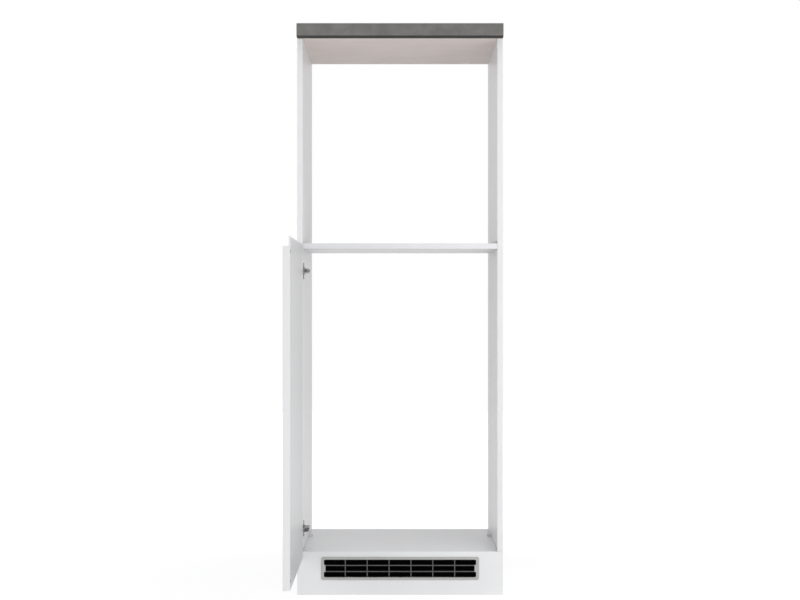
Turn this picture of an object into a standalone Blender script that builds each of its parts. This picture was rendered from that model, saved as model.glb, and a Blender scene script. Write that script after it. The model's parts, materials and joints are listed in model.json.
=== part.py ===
# Tall fridge housing unit: open carcass, worktop, vented plinth and one door on
# two concealed cup hinges, shown with the door open at a right angle.
# Metres, +Z up, the front faces -Y. The origin is the middle of the plinth board's underside.
from math import acos, asin, atan2, cos, pi, radians, sin, sqrt

import bmesh
import bpy
from mathutils import Matrix, Vector

# Carcass boards
BOARD = 0.016
CARCASS_WIDTH = 0.600
CARCASS_DEPTH = 0.560
SIDE_HEIGHT = 1.623
PLINTH_HEIGHT = 0.126
BOTTOM_DEPTH = 0.535
SHELF_DEPTH = 0.460
FRIDGE_NICHE_HEIGHT = 0.884
BOARD_EDGE_ROUND = 0.0006
# Seam kept between pieces that touch
SEAM = 0.0003

# Worktop
WORKTOP_THICKNESS = 0.040
WORKTOP_OVERHANG = 0.040
WORKTOP_TOP_ROUND = 0.003
WORKTOP_LOWER_ROUND = 0.0065
WORKTOP_END_ROUND = 0.001
LAMINATE_WRAP = 0.034
BACKING_THICKNESS = 0.0008

# Vent grille in the plinth
GRILLE_WIDTH = 0.461
GRILLE_HEIGHT = 0.068
GRILLE_CENTRE_HEIGHT = 0.0772
GRILLE_THICKNESS = 0.002
GRILLE_EDGE_ROUND = 0.0007
GRILLE_OPENING_WIDTH = 0.444
GRILLE_OPENING_HEIGHT = 0.0503
GRILLE_CORNER = 0.006
GRILLE_COLUMNS = 7
GRILLE_ROWS = 3
GRILLE_BAR = 0.0028
GRILLE_END_TAB = 0.0048
PLINTH_CUTOUT_CORNER = 0.003
CLIP_WIDTH = 0.012
CLIP_THICKNESS = 0.0012
CLIP_BARB = 0.0016
CLIP_POSITION_SHARES = (-0.36, 0.0, 0.36)

# Louvre behind the grille
LOUVRE_DEPTH = 0.007
LOUVRE_BORDER = 0.0015
LOUVRE_SLATS = 7
LOUVRE_SLAT_THICKNESS = 0.0009
LOUVRE_SLAT_INSET = 0.0005

# Dowels
DOWEL_RADIUS = 0.004
DOWEL_LENGTH = 0.030
DOWEL_CHAMFER = 0.001
DOWEL_SIDE_DEPTH = 0.012
DOWEL_TOP_DEPTH = 0.014
DOWEL_DEPTH_SHARES = {"front": 0.16, "rear": 0.84}

# Countersunk wood screws
SCREW_HEAD_RADIUS = 0.0027
SCREW_HEAD_HEIGHT = 0.0016
SCREW_SHANK_RADIUS = 0.0014
SCREW_LENGTH = 0.0130
SCREW_TIP_SHARE = 0.8
SCREW_RECESS_RADIUS = 0.0011
SCREW_RECESS_DEPTH = 0.0009
RECESS_WALL_SHARE = 0.6
SCREW_CLEARANCE = 0.0003

# Corner connectors on the bottom panel and the shelf
CONNECTOR_WIDTH = 0.0125
CONNECTOR_LENGTH = 0.017
CONNECTOR_HEIGHT = 0.0068
CONNECTOR_CORNER = 0.0018
CONNECTOR_EDGE_ROUND = 0.0004
CONNECTOR_SCREW_SHARE = 0.25
CONNECTOR_SETBACKS = {"front": 0.037, "rear": 0.357}

# Angle brackets behind the plinth
BRACKET_LEG = 0.034
BRACKET_HEIGHT = 0.060
BRACKET_THICKNESS = 0.003
BRACKET_WEB = 0.0025
BRACKET_RISE = 0.006
BRACKET_SCREW_SHARES = (-0.3, 0.3)
BRACKET_SCREW_REACH_SHARE = 0.68

# Door
DOOR_THICKNESS = 0.019
DOOR_SIDE_REVEAL = 0.0015
DOOR_TOP_REVEAL = 0.002
DOOR_PLINTH_LAP = 0.020
DOOR_GAP = 0.0029
DOOR_EDGE_ROUND = 0.0008
PULL_REBATE_HEIGHT = 0.025
PULL_LIP = 0.004
PULL_ROOT_ROUND = 0.004

# Concealed hinge. Its places are (across, inward, up): across from the left side's
# inner face into the niche, inward from the carcass front, both with the door closed,
# and up from the hinge's middle.
HINGE_END_SETBACK = 0.064
OPEN_ANGLE = radians(90)
WIDEST_ANGLE = radians(105)
OUTER_LINK_TURN_SHARE = 0.30
INNER_LINK_TURN_SHARE = 0.12
OUTER_ARM_PIVOT = (0.0114, 0.0047)
INNER_ARM_PIVOT = (0.0051, 0.0019)
OUTER_CUP_PIVOT_SETBACK = 0.0070
OUTER_CUP_PIVOT_DEPTH = 0.0012
INNER_CUP_PIVOT_SETBACK = 0.0071
INNER_CUP_PIVOT_DEPTH = 0.0059
OUTER_LINK_BOW = 0.0036
INNER_LINK_BOW = 0.0065
INNER_LINK_ROOT = 0.0025
LINK_HALF_THICKNESS = 0.0012
LINK_EYE_RADIUS = 0.0022
SLOT_WALL = 0.0006
SLOT_SAMPLES = 43
PIN_RADIUS = 0.0010
PIN_HEAD_RADIUS = 0.0018
PIN_HEAD_CROWN_RADIUS = 0.0013
PIN_HEAD_HEIGHT = 0.0005
RUNNING_CLEARANCE = 0.0003
INNER_LINK_HALF_WIDTH = 0.0026
LINK_CHEEK = 0.0014
LAYER_CLEARANCE = 0.0004
BARREL_RADIUS = 0.0017

# Hinge cup in the door
CUP_RADIUS = 0.0175
CUP_DEPTH = 0.0115
CUP_WALL = 0.0008
CUP_EDGE_DISTANCE = 0.003
CUP_CLEARANCE = 0.0003
FLANGE_THICKNESS = 0.001
FLANGE_RIM = 0.0013
WING_SCREW_SPREAD = 0.024
WING_SCREW_OFFSET = 0.006
WING_RADIUS = 0.007
EXIT_DEPTH = 0.003
EXIT_FAR_SETBACK = 0.0052
EAR_THICKNESS = 0.0016
EAR_NEAR_SETBACK = 0.00435
EAR_FAR_SETBACK = 0.0098
EAR_SLOPE = 0.0014
EAR_STEP = 0.0002

# Hinge arm
ARM_WALL = 0.0016
ARM_REACH = 0.018
ARM_FOOT = 0.003
ARM_LENGTH = 0.062
ARM_NOSE_RADIUS = 0.0034
ARM_NOSE_OPENING = 0.0105
ARM_SHOULDER = 0.0125
ARM_FOOT_START = 0.009
ARM_EDGE_ROUND = 0.0012
ARM_REAR_ROUND = 0.004
ARM_SLOT_HALF_LENGTH = 0.0035

# Mounting plate
PLATE_THICKNESS = 0.002
PLATE_FRONT = 0.021
PLATE_REAR = 0.060
PLATE_HALF_WIDTH = 0.0095
PLATE_CORNER = 0.0025
PLATE_WING_SETBACK = 0.037
PLATE_SCREW_SPREAD = 0.016
PLATE_WING_RADIUS = 0.0075
RIDGE_TOP = 0.0085
RIDGE_FRONT = 0.0235
RIDGE_REAR = 0.0585
RIDGE_SLOPE = 0.0035
RIDGE_SHOULDER = 0.0055
FIN_HEIGHT = 0.0058
FIN_REACH = 0.0128
FIN_FRONT = 0.0275
FIN_REAR = 0.0465

# Machine screws of the hinge
PLATE_SCREW_SHANK = 0.0025
PLATE_SCREW_HEAD = 0.0045
PLATE_SCREW_HEAD_HEIGHT = 0.0016
PLATE_SCREW_LENGTH = 0.012
ARM_SCREW_SHANK = 0.0021
ARM_SCREW_HEAD = 0.0042
ARM_SCREW_CROWN = 0.0034
ARM_SCREW_HEAD_HEIGHT = 0.0018
CLAMP_SCREW_SETBACK = 0.050
CLAMP_SCREW_TIP = 0.0045
ADJUSTER_SETBACK = 0.029
ADJUSTER_NECK_RADIUS = 0.0015
ADJUSTER_NECK_LENGTH = 0.0012
ADJUSTER_PROUD = 0.0006

# Overrun of every cutting tool past the face it leaves
OVERRUN = 0.002

# Facets of round work
SMALL_FACETS = 12
PIN_FACETS = 12
CUP_FACETS = 32
CORNER_STEPS = 4
SMALL_CORNER_STEPS = 2
EYE_STEPS = 4
BOW_STEPS = 8
SMOOTH_ANGLE = radians(35)
ROUNDED_ANGLE = radians(40)

# Derived places
FRONT = -BOARD / 2
BACK = FRONT + CARCASS_DEPTH
INNER_HALF = CARCASS_WIDTH / 2 - BOARD
SHELF_UNDERSIDE = PLINTH_HEIGHT + FRIDGE_NICHE_HEIGHT
SHELF_TOP = SHELF_UNDERSIDE + BOARD
DOOR_WIDTH = CARCASS_WIDTH - 2 * DOOR_SIDE_REVEAL
DOOR_BOTTOM = PLINTH_HEIGHT - DOOR_PLINTH_LAP
DOOR_TOP = SHELF_TOP - DOOR_TOP_REVEAL
HINGE_HEIGHTS = {
    "lower": PLINTH_HEIGHT + HINGE_END_SETBACK,
    "upper": SHELF_UNDERSIDE - HINGE_END_SETBACK,
}
CHEEK_INNER = INNER_LINK_HALF_WIDTH + LAYER_CLEARANCE
CHEEK_OUTER = CHEEK_INNER + LINK_CHEEK
FORK_INNER = CHEEK_OUTER + LAYER_CLEARANCE
ARM_HALF_WIDTH = FORK_INNER + ARM_WALL
PIN_HOLE = PIN_RADIUS + RUNNING_CLEARANCE
CUP_SETBACK = CUP_EDGE_DISTANCE + CUP_RADIUS
FLANGE_TOP = -SEAM - FLANGE_THICKNESS
CUTOUT_HALF_WIDTH = GRILLE_OPENING_WIDTH / 2 + CLIP_THICKNESS + 2 * SEAM
CUTOUT_HALF_HEIGHT = GRILLE_OPENING_HEIGHT / 2 + CLIP_THICKNESS + 2 * SEAM

# Turns that lay an outline on another plane: its own X, Y and height go to the named directions
ON_SIDE = Matrix(((0, 0, 1, 0), (1, 0, 0, 0), (0, 1, 0, 0), (0, 0, 0, 1)))
ON_FRONT = Matrix(((1, 0, 0, 0), (0, 0, -1, 0), (0, 1, 0, 0), (0, 0, 0, 1)))
SWAPPED = Matrix(((0, 1, 0, 0), (1, 0, 0, 0), (0, 0, 1, 0), (0, 0, 0, 1)))


def clear_scene():
    """Remove whatever the file holds before the unit is built."""
    for item in list(bpy.data.objects):
        bpy.data.objects.remove(item, do_unlink=True)


def finish(name, colour, roughness, metallic=0.0):
    """Return a plain Principled material."""
    made = bpy.data.materials.new(name)
    made.use_nodes = True
    shader = made.node_tree.nodes["Principled BSDF"]
    shader.inputs["Base Color"].default_value = (*colour, 1.0)
    shader.inputs["Roughness"].default_value = roughness
    shader.inputs["Metallic"].default_value = metallic
    return made


def link_object(name, data, frame, parent):
    """Put a mesh or an empty in the scene at a frame under its parent."""
    made = bpy.data.objects.new(name, data)
    bpy.context.scene.collection.objects.link(made)
    made.parent = parent
    made.matrix_local = frame
    return made


def solid(name, shape, coat, parent=None):
    """Turn a bmesh into a named piece, shaded smooth where its facets meet gently."""
    bmesh.ops.recalc_face_normals(shape, faces=shape.faces)
    mesh = bpy.data.meshes.new(name)
    shape.to_mesh(mesh)
    shape.free()
    mesh.shade_smooth()
    mesh.set_sharp_from_angle(angle=SMOOTH_ANGLE)
    if coat:
        mesh.materials.append(coat)
    return link_object(name, mesh, Matrix.Identity(4), parent)


def combine(target, operation, label, shape):
    """Cut a shape from a piece or unite it with the piece."""
    helper = solid(f"{target.name}_{label}", shape, None, target.parent)
    helper.hide_render = True
    helper.display_type = "WIRE"
    step = target.modifiers.new(label, "BOOLEAN")
    step.operation = operation
    step.solver = "EXACT"
    step.object = helper


def cut(target, label, shape):
    """Take a shape's bodies away from a piece."""
    combine(target, "DIFFERENCE", label, shape)


def join(target, label, shape):
    """Unite a shape's bodies with a piece."""
    combine(target, "UNION", label, shape)


def round_edges(target, width, segments=1):
    """Break the sharp edges of a piece."""
    step = target.modifiers.new("edge_round", "BEVEL")
    step.width = width
    step.segments = segments
    step.limit_method = "ANGLE"
    step.angle_limit = ROUNDED_ANGLE


def repeat(master, placings):
    """Replace a finished piece by copies of one mesh, given as (name, frame, parent)."""
    graph = bpy.context.evaluated_depsgraph_get()
    mesh = bpy.data.meshes.new_from_object(master.evaluated_get(graph))
    helpers = [step.object for step in master.modifiers if step.type == "BOOLEAN"]
    for item in [*helpers, master]:
        bpy.data.objects.remove(item, do_unlink=True)
    for name, frame, parent in placings:
        link_object(name, mesh, frame, parent)


def prism(shape, outline, low, high, frame=None):
    """Add a closed prism over an outline, between two heights of a frame."""
    frame = frame or Matrix.Identity(4)
    base = [shape.verts.new(frame @ Vector((x, y, low))) for x, y in outline]
    top = [shape.verts.new(frame @ Vector((x, y, high))) for x, y in outline]
    shape.faces.new(reversed(base))
    shape.faces.new(top)
    for i in range(len(outline)):
        j = (i + 1) % len(outline)
        shape.faces.new((base[i], base[j], top[j], top[i]))


def block(shape, low, high):
    """Add a box between two corners."""
    outline = [(low[0], low[1]), (high[0], low[1]), (high[0], high[1]), (low[0], high[1])]
    prism(shape, outline, low[2], high[2])


def lathe(shape, profile, frame, facets=SMALL_FACETS):
    """Add a turned solid from (radius, height) pairs that start and end on the frame's Z."""
    rings = []
    for radius, height in profile:
        ring = []
        for i in range(facets if radius else 1):
            angle = 2 * pi * i / facets
            ring.append(shape.verts.new(frame @ Vector((radius * cos(angle), radius * sin(angle), height))))
        rings.append(ring)
    for lower, upper in zip(rings, rings[1:]):
        for i in range(facets):
            j = (i + 1) % facets
            corners = []
            for ring, step in ((lower, i), (lower, j), (upper, j), (upper, i)):
                corner = ring[step % len(ring)]
                if corner not in corners:
                    corners.append(corner)
            shape.faces.new(corners)


def rod(shape, radius, low, high, frame, facets=SMALL_FACETS):
    """Add a plain round bar along a frame's Z."""
    lathe(shape, [(0, low), (radius, low), (radius, high), (0, high)], frame, facets)


def axis_frame(place, direction):
    """Return a frame at a place whose Z runs along a direction."""
    turn = Vector((0, 0, 1)).rotation_difference(Vector(direction)).to_matrix().to_4x4()
    return Matrix.Translation(place) @ turn


def shift(x, y, z):
    """Return a plain translation."""
    return Matrix.Translation((x, y, z))


def arc_points(centre, radius, start, stop, steps=CORNER_STEPS):
    """Return points along an arc, both ends included."""
    points = []
    for i in range(steps + 1):
        angle = start + (stop - start) * i / steps
        points.append((centre[0] + radius * cos(angle), centre[1] + radius * sin(angle)))
    return points


def rounded_rectangle(half_width, half_height, radius, steps=CORNER_STEPS):
    """Return a rectangle's outline about the origin with round corners."""
    outline = []
    for quarter, (across, up) in enumerate(((1, 1), (-1, 1), (-1, -1), (1, -1))):
        centre = (across * (half_width - radius), up * (half_height - radius))
        outline += arc_points(centre, radius, quarter * pi / 2, (quarter + 1) * pi / 2, steps)
    return outline


def slot_outline(centre, heading, half_length, half_width):
    """Return the outline of a round-ended slot about a centre, long way along its heading."""
    heading = heading.normalized()
    angle = atan2(heading.y, heading.x)
    ahead = centre + heading * half_length
    behind = centre - heading * half_length
    outline = arc_points(ahead, half_width, angle - pi / 2, angle + pi / 2, 2 * CORNER_STEPS)
    outline += arc_points(behind, half_width, angle + pi / 2, angle + 3 * pi / 2, 2 * CORNER_STEPS)
    return outline


def turned(vector, angle):
    """Return a plan vector turned about Z."""
    return Vector((vector.x * cos(angle) - vector.y * sin(angle), vector.x * sin(angle) + vector.y * cos(angle)))


def hinge_frame(height):
    """Return the frame of one hinge's places."""
    return shift(-INNER_HALF, FRONT, height)


# Plan places of the linkage in the hinge's frame, door closed
DOOR_EDGE = DOOR_SIDE_REVEAL - BOARD
ARM_OUTER = Vector(OUTER_ARM_PIVOT)
ARM_INNER = Vector(INNER_ARM_PIVOT)
CUP_OUTER = Vector((DOOR_EDGE + OUTER_CUP_PIVOT_SETBACK, -DOOR_GAP - OUTER_CUP_PIVOT_DEPTH))
CUP_INNER = Vector((DOOR_EDGE + INNER_CUP_PIVOT_SETBACK, -DOOR_GAP - INNER_CUP_PIVOT_DEPTH))


def cup_pivots(door_turn):
    """Return the plan places of the two cup pivots at a door angle."""
    outer = ARM_OUTER + turned(CUP_OUTER - ARM_OUTER, OUTER_LINK_TURN_SHARE * door_turn)
    inner = outer + turned(CUP_INNER - CUP_OUTER, -door_turn)
    return outer, inner


def inner_link_fit():
    """Return the inner link's span from slot to eye, and the play its slot must give.

    The link turns by a constant share of the door's angle, so the arm pin wanders
    in it. The slot is centred on that wander and is as long and wide as it needs.
    """
    spans = []
    for i in range(SLOT_SAMPLES):
        door_turn = WIDEST_ANGLE * i / (SLOT_SAMPLES - 1)
        inner = cup_pivots(door_turn)[1]
        spans.append(turned(inner - ARM_INNER, -INNER_LINK_TURN_SHARE * door_turn))
    across = [span.x for span in spans]
    inward = [span.y for span in spans]
    middle = Vector(((min(across) + max(across)) / 2, (min(inward) + max(inward)) / 2))
    along = middle.normalized()
    beside = Vector((-along.y, along.x))
    play_along = max(abs((span - middle).dot(along)) for span in spans)
    play_beside = max(abs((span - middle).dot(beside)) for span in spans)
    return middle, play_along, play_beside


INNER_SPAN, SLOT_PLAY, SLOT_SIDE_PLAY = inner_link_fit()
SLOT_HALF_WIDTH = PIN_HOLE + SLOT_SIDE_PLAY
OPEN_OUTER, OPEN_INNER = cup_pivots(OPEN_ANGLE)


def bow_point(start, end, bow, distance):
    """Return the point and heading at a distance along a bowed line, straight past its ends."""
    chord = (end - start).length
    along = (end - start) / chord
    beside = Vector((-along.y, along.x))
    radius = (chord * chord / 4 + bow * bow) / (2 * bow)
    half = asin(chord / (2 * radius))
    length = 2 * half * radius
    inside = min(max(distance, 0), length)
    angle = inside / radius - half
    point = start + along * (radius * sin(angle) + chord / 2) + beside * (radius * cos(angle) - radius + bow)
    heading = along * cos(angle) - beside * sin(angle)
    return point + heading * (distance - inside), heading, length


def bowed_link_outline(start, end, bow, half_thickness, start_radius, end_radius):
    """Return the outline of a bowed bar with a round eye at each end."""
    length = bow_point(start, end, bow, 0)[2]
    start_neck = sqrt(start_radius ** 2 - half_thickness ** 2)
    end_neck = sqrt(end_radius ** 2 - half_thickness ** 2)
    stations = []
    for i in range(1, EYE_STEPS):
        stations.append(-start_radius * cos(i * pi / 2 / EYE_STEPS))
    for i in range(EYE_STEPS):
        stations.append(start_neck * i / EYE_STEPS)
    for i in range(BOW_STEPS + 1):
        stations.append(start_neck + (length - end_neck - start_neck) * i / BOW_STEPS)
    for i in range(1, EYE_STEPS):
        stations.append(length - end_neck * (1 - i / EYE_STEPS))
    for i in range(EYE_STEPS):
        stations.append(length + end_radius * sin(i * pi / 2 / EYE_STEPS))
    left = [bow_point(start, end, bow, -start_radius)[0]]
    right = []
    for station in stations:
        half = half_thickness if 0 <= station <= length else 0
        if abs(station) < start_radius:
            half = max(half, sqrt(start_radius ** 2 - station ** 2))
        if abs(station - length) < end_radius:
            half = max(half, sqrt(end_radius ** 2 - (station - length) ** 2))
        point, heading, _ = bow_point(start, end, bow, station)
        beside = Vector((-heading.y, heading.x))
        left.append(point + beside * half)
        right.append(point - beside * half)
    left.append(bow_point(start, end, bow, length + end_radius)[0])
    return left + right[::-1]


def about(outline, origin):
    """Return plan points measured from an origin."""
    return [(point[0] - origin[0], point[1] - origin[1]) for point in outline]


def wood_screw(shape, frame):
    """Add a countersunk screw with the top of its head at the frame."""
    wall = SCREW_RECESS_DEPTH * RECESS_WALL_SHARE
    profile = [(0, SCREW_RECESS_DEPTH), (SCREW_RECESS_RADIUS, wall), (SCREW_RECESS_RADIUS, 0)]
    profile += [(SCREW_HEAD_RADIUS, 0), (SCREW_SHANK_RADIUS, SCREW_HEAD_HEIGHT)]
    profile += [(SCREW_SHANK_RADIUS, SCREW_LENGTH * SCREW_TIP_SHARE), (0, SCREW_LENGTH)]
    lathe(shape, profile, frame)


def countersunk_hole(shape, frame, head, shank, head_height, length):
    """Add the cutter that seats a countersunk screw with play all round."""
    seat = head + SCREW_CLEARANCE
    bore = shank + SCREW_CLEARANCE
    tip = length + SCREW_CLEARANCE
    profile = [(0, -OVERRUN), (seat, -OVERRUN), (seat, SCREW_CLEARANCE)]
    profile += [(bore, head_height + SCREW_CLEARANCE), (bore, tip), (0, tip)]
    lathe(shape, profile, frame)


def wood_screw_hole(shape, frame):
    """Add the cutter for a wood screw's hole."""
    countersunk_hole(shape, frame, SCREW_HEAD_RADIUS, SCREW_SHANK_RADIUS, SCREW_HEAD_HEIGHT, SCREW_LENGTH)


def plate_screw_hole(shape, frame):
    """Add the cutter for a mounting plate screw's hole."""
    countersunk_hole(shape, frame, PLATE_SCREW_HEAD, PLATE_SCREW_SHANK, PLATE_SCREW_HEAD_HEIGHT, PLATE_SCREW_LENGTH)


def board_dowels(mid_height, depth):
    """Return the frames of the dowels that tie a level board's ends to the sides, by place."""
    places = {}
    for side, word in ((-1, "left"), (1, "right")):
        for end, share in DOWEL_DEPTH_SHARES.items():
            across = side * (INNER_HALF + DOWEL_SIDE_DEPTH - DOWEL_LENGTH / 2)
            places[word, end] = axis_frame((across, FRONT + depth * share, mid_height), (side, 0, 0))
    return places


def top_dowels():
    """Return the frames of the upright dowels that tie the worktop to the sides, by place."""
    places = {}
    for side, word in ((-1, "left"), (1, "right")):
        for end, share in DOWEL_DEPTH_SHARES.items():
            height = SIDE_HEIGHT + DOWEL_TOP_DEPTH - DOWEL_LENGTH / 2
            across = side * (CARCASS_WIDTH - BOARD) / 2
            places[word, end] = shift(across, FRONT + CARCASS_DEPTH * share, height)
    return places


DOWELS = {
    "bottom": board_dowels(PLINTH_HEIGHT - BOARD / 2, BOTTOM_DEPTH),
    "shelf": board_dowels(SHELF_TOP - BOARD / 2, SHELF_DEPTH),
    "worktop": top_dowels(),
}


def dowel_holes(shape, groups, side=None):
    """Add the plain round borings of some groups of dowels, of one side or of both."""
    half = DOWEL_LENGTH / 2 + SEAM
    for group in groups:
        for (word, _), frame in DOWELS[group].items():
            if side in (None, word):
                rod(shape, DOWEL_RADIUS + SEAM, -half, half, frame)


def dowels(coat):
    """Build the chamfered dowels of both boards and the worktop."""
    half = DOWEL_LENGTH / 2
    tip = DOWEL_RADIUS - DOWEL_CHAMFER
    shoulder = half - DOWEL_CHAMFER
    profile = [(0, -half), (tip, -half), (DOWEL_RADIUS, -shoulder), (DOWEL_RADIUS, shoulder), (tip, half), (0, half)]
    shape = bmesh.new()
    lathe(shape, profile, Matrix.Identity(4))
    placings = []
    for group, places in DOWELS.items():
        for (word, end), frame in places.items():
            placings.append((f"{group}_dowel_{word}_{end}", frame, None))
    repeat(solid("dowel", shape, coat), placings)


def plate_screw_frames():
    """Return the frames of one mounting plate's screws in the hinge's frame."""
    frames = {}
    for up, word in ((-1, "bottom"), (1, "top")):
        place = (SEAM + PLATE_THICKNESS, PLATE_WING_SETBACK, up * PLATE_SCREW_SPREAD)
        frames[word] = axis_frame(place, (-1, 0, 0))
    return frames


def side_panel(word, coat):
    """Build one side panel with its plinth notch and its borings."""
    side = -1 if word == "left" else 1
    notch = FRONT + BOARD + SEAM
    step = PLINTH_HEIGHT + SEAM
    outline = [(notch, 0), (BACK, 0), (BACK, SIDE_HEIGHT), (FRONT, SIDE_HEIGHT), (FRONT, step), (notch, step)]
    faces = sorted((side * CARCASS_WIDTH / 2, side * INNER_HALF))
    shape = bmesh.new()
    prism(shape, outline, *faces, ON_SIDE)
    made = solid(f"side_panel_{word}", shape, coat)
    round_edges(made, BOARD_EDGE_ROUND)
    holes = bmesh.new()
    dowel_holes(holes, DOWELS, word)
    if side < 0:
        for height in HINGE_HEIGHTS.values():
            for frame in plate_screw_frames().values():
                plate_screw_hole(holes, hinge_frame(height) @ frame)
    cut(made, "borings", holes)


def level_board(name, front, depth, top, group, coat):
    """Build a level board between the sides, bored for its dowels."""
    shape = bmesh.new()
    half = INNER_HALF - SEAM
    block(shape, (-half, front, top - BOARD), (half, FRONT + depth, top))
    made = solid(name, shape, coat)
    round_edges(made, BOARD_EDGE_ROUND)
    holes = bmesh.new()
    dowel_holes(holes, [group])
    cut(made, "borings", holes)


def plinth_board(coat):
    """Build the plinth with the cut-out for its vent."""
    shape = bmesh.new()
    half = CARCASS_WIDTH / 2
    block(shape, (-half, FRONT, 0), (half, FRONT + BOARD, PLINTH_HEIGHT))
    made = solid("plinth_board", shape, coat)
    round_edges(made, BOARD_EDGE_ROUND)
    reach = BOARD / 2 + OVERRUN
    outline = rounded_rectangle(CUTOUT_HALF_WIDTH, CUTOUT_HALF_HEIGHT, PLINTH_CUTOUT_CORNER)
    opening = bmesh.new()
    prism(opening, outline, -reach, reach, shift(0, 0, GRILLE_CENTRE_HEIGHT) @ ON_FRONT)
    cut(made, "vent_cutout", opening)


def grille_slots():
    """Return the (left, right, low, high) of every slot, about the grille's middle."""
    pitch_across = (GRILLE_OPENING_WIDTH + GRILLE_BAR) / GRILLE_COLUMNS
    pitch_up = (GRILLE_OPENING_HEIGHT + GRILLE_BAR) / GRILLE_ROWS
    slots = []
    for row in range(GRILLE_ROWS):
        low = -GRILLE_OPENING_HEIGHT / 2 + row * pitch_up
        tab = GRILLE_END_TAB if row == GRILLE_ROWS // 2 else 0
        for column in range(GRILLE_COLUMNS):
            left = -GRILLE_OPENING_WIDTH / 2 + column * pitch_across
            right = left + pitch_across - GRILLE_BAR
            left += tab if column == 0 else 0
            right -= tab if column == GRILLE_COLUMNS - 1 else 0
            slots.append((left, right, low, low + pitch_up - GRILLE_BAR))
    return slots


def vent_grille(coat):
    """Build the grille: a plate with rows of slots and barbed clips that grip the plinth."""
    facing = shift(0, FRONT - SEAM, GRILLE_CENTRE_HEIGHT) @ ON_FRONT
    shape = bmesh.new()
    prism(shape, rounded_rectangle(GRILLE_WIDTH / 2, GRILLE_HEIGHT / 2, GRILLE_CORNER), 0, GRILLE_THICKNESS, facing)
    made = solid("vent_grille", shape, coat)
    round_edges(made, GRILLE_EDGE_ROUND)
    slots = bmesh.new()
    for left, right, low, high in grille_slots():
        outline = [(left, low), (right, low), (right, high), (left, high)]
        prism(slots, outline, -OVERRUN, GRILLE_THICKNESS + OVERRUN, facing)
    cut(made, "slots", slots)
    clips = bmesh.new()
    root = FRONT - SEAM - CLIP_THICKNESS / 2
    catch = FRONT + BOARD + SEAM
    end = catch + 2 * CLIP_BARB
    for edge in (-1, 1):
        foot = GRILLE_CENTRE_HEIGHT + edge * GRILLE_OPENING_HEIGHT / 2
        for share in CLIP_POSITION_SHARES:
            profile = [
                (root, foot),
                (end, foot),
                (end, foot + edge * CLIP_THICKNESS / 2),
                (catch, foot + edge * (CLIP_THICKNESS + CLIP_BARB)),
                (catch, foot + edge * CLIP_THICKNESS),
                (root, foot + edge * CLIP_THICKNESS),
            ]
            middle = GRILLE_OPENING_WIDTH * share
            prism(clips, profile, middle - CLIP_WIDTH / 2, middle + CLIP_WIDTH / 2, ON_SIDE)
    join(made, "clips", clips)


def vent_louvre(coat):
    """Build the louvre that the grille's clips hold in the cut-out: slats that slope down to the front."""
    facing = shift(0, FRONT + LOUVRE_DEPTH, GRILLE_CENTRE_HEIGHT) @ ON_FRONT
    half_width = CUTOUT_HALF_WIDTH - SEAM
    half_height = GRILLE_OPENING_HEIGHT / 2 - SEAM
    corner = PLINTH_CUTOUT_CORNER
    shape = bmesh.new()
    prism(shape, rounded_rectangle(half_width, half_height, corner, SMALL_CORNER_STEPS), 0, LOUVRE_DEPTH, facing)
    made = solid("vent_louvre", shape, coat)
    inner_width = half_width - LOUVRE_BORDER
    inner_height = half_height - LOUVRE_BORDER
    near = -OVERRUN
    far = LOUVRE_DEPTH + OVERRUN
    middle = bmesh.new()
    prism(middle, rounded_rectangle(inner_width, inner_height, LOUVRE_BORDER, SMALL_CORNER_STEPS), near, far, facing)
    cut(made, "middle", middle)
    near = FRONT + LOUVRE_SLAT_INSET
    far = FRONT + LOUVRE_DEPTH - LOUVRE_SLAT_INSET
    pitch = 2 * inner_height / LOUVRE_SLATS
    reach = half_width - LOUVRE_BORDER / 2
    slats = bmesh.new()
    for i in range(LOUVRE_SLATS):
        low = GRILLE_CENTRE_HEIGHT - inner_height + i * pitch - LOUVRE_SLAT_THICKNESS / 2
        high = low + pitch
        profile = [(near, low), (far, high), (far, high + LOUVRE_SLAT_THICKNESS), (near, low + LOUVRE_SLAT_THICKNESS)]
        prism(slats, profile, -reach, reach, ON_SIDE)
    join(made, "slats", slats)


def worktop(coat, backing_coat):
    """Build the worktop with its rolled front edge, and the backing sheet under it."""
    base = SIDE_HEIGHT + SEAM
    top = SIDE_HEIGHT + WORKTOP_THICKNESS
    nose = FRONT - WORKTOP_OVERHANG
    wrap_end = nose + LAMINATE_WRAP
    roll = (nose + WORKTOP_LOWER_ROUND, base + WORKTOP_LOWER_ROUND)
    outline = arc_points(roll, WORKTOP_LOWER_ROUND, pi, 3 * pi / 2)
    outline += [(BACK, base), (BACK, top)]
    outline += arc_points((nose + WORKTOP_TOP_ROUND, top - WORKTOP_TOP_ROUND), WORKTOP_TOP_ROUND, pi / 2, pi)
    half = CARCASS_WIDTH / 2
    shape = bmesh.new()
    prism(shape, outline, -half, half, ON_SIDE)
    slab = solid("worktop", shape, coat)
    round_edges(slab, WORKTOP_END_ROUND)
    recess = bmesh.new()
    recess_top = base + BACKING_THICKNESS + SEAM
    block(recess, (-half - OVERRUN, wrap_end, base - OVERRUN), (half + OVERRUN, BACK + OVERRUN, recess_top))
    cut(slab, "backing_recess", recess)
    sheet = bmesh.new()
    block(sheet, (SEAM - half, wrap_end + SEAM, base), (half - SEAM, BACK - SEAM, base + BACKING_THICKNESS))
    backing = solid("worktop_backing", sheet, backing_coat)
    for made in (slab, backing):
        holes = bmesh.new()
        dowel_holes(holes, ["worktop"])
        cut(made, "borings", holes)


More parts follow.
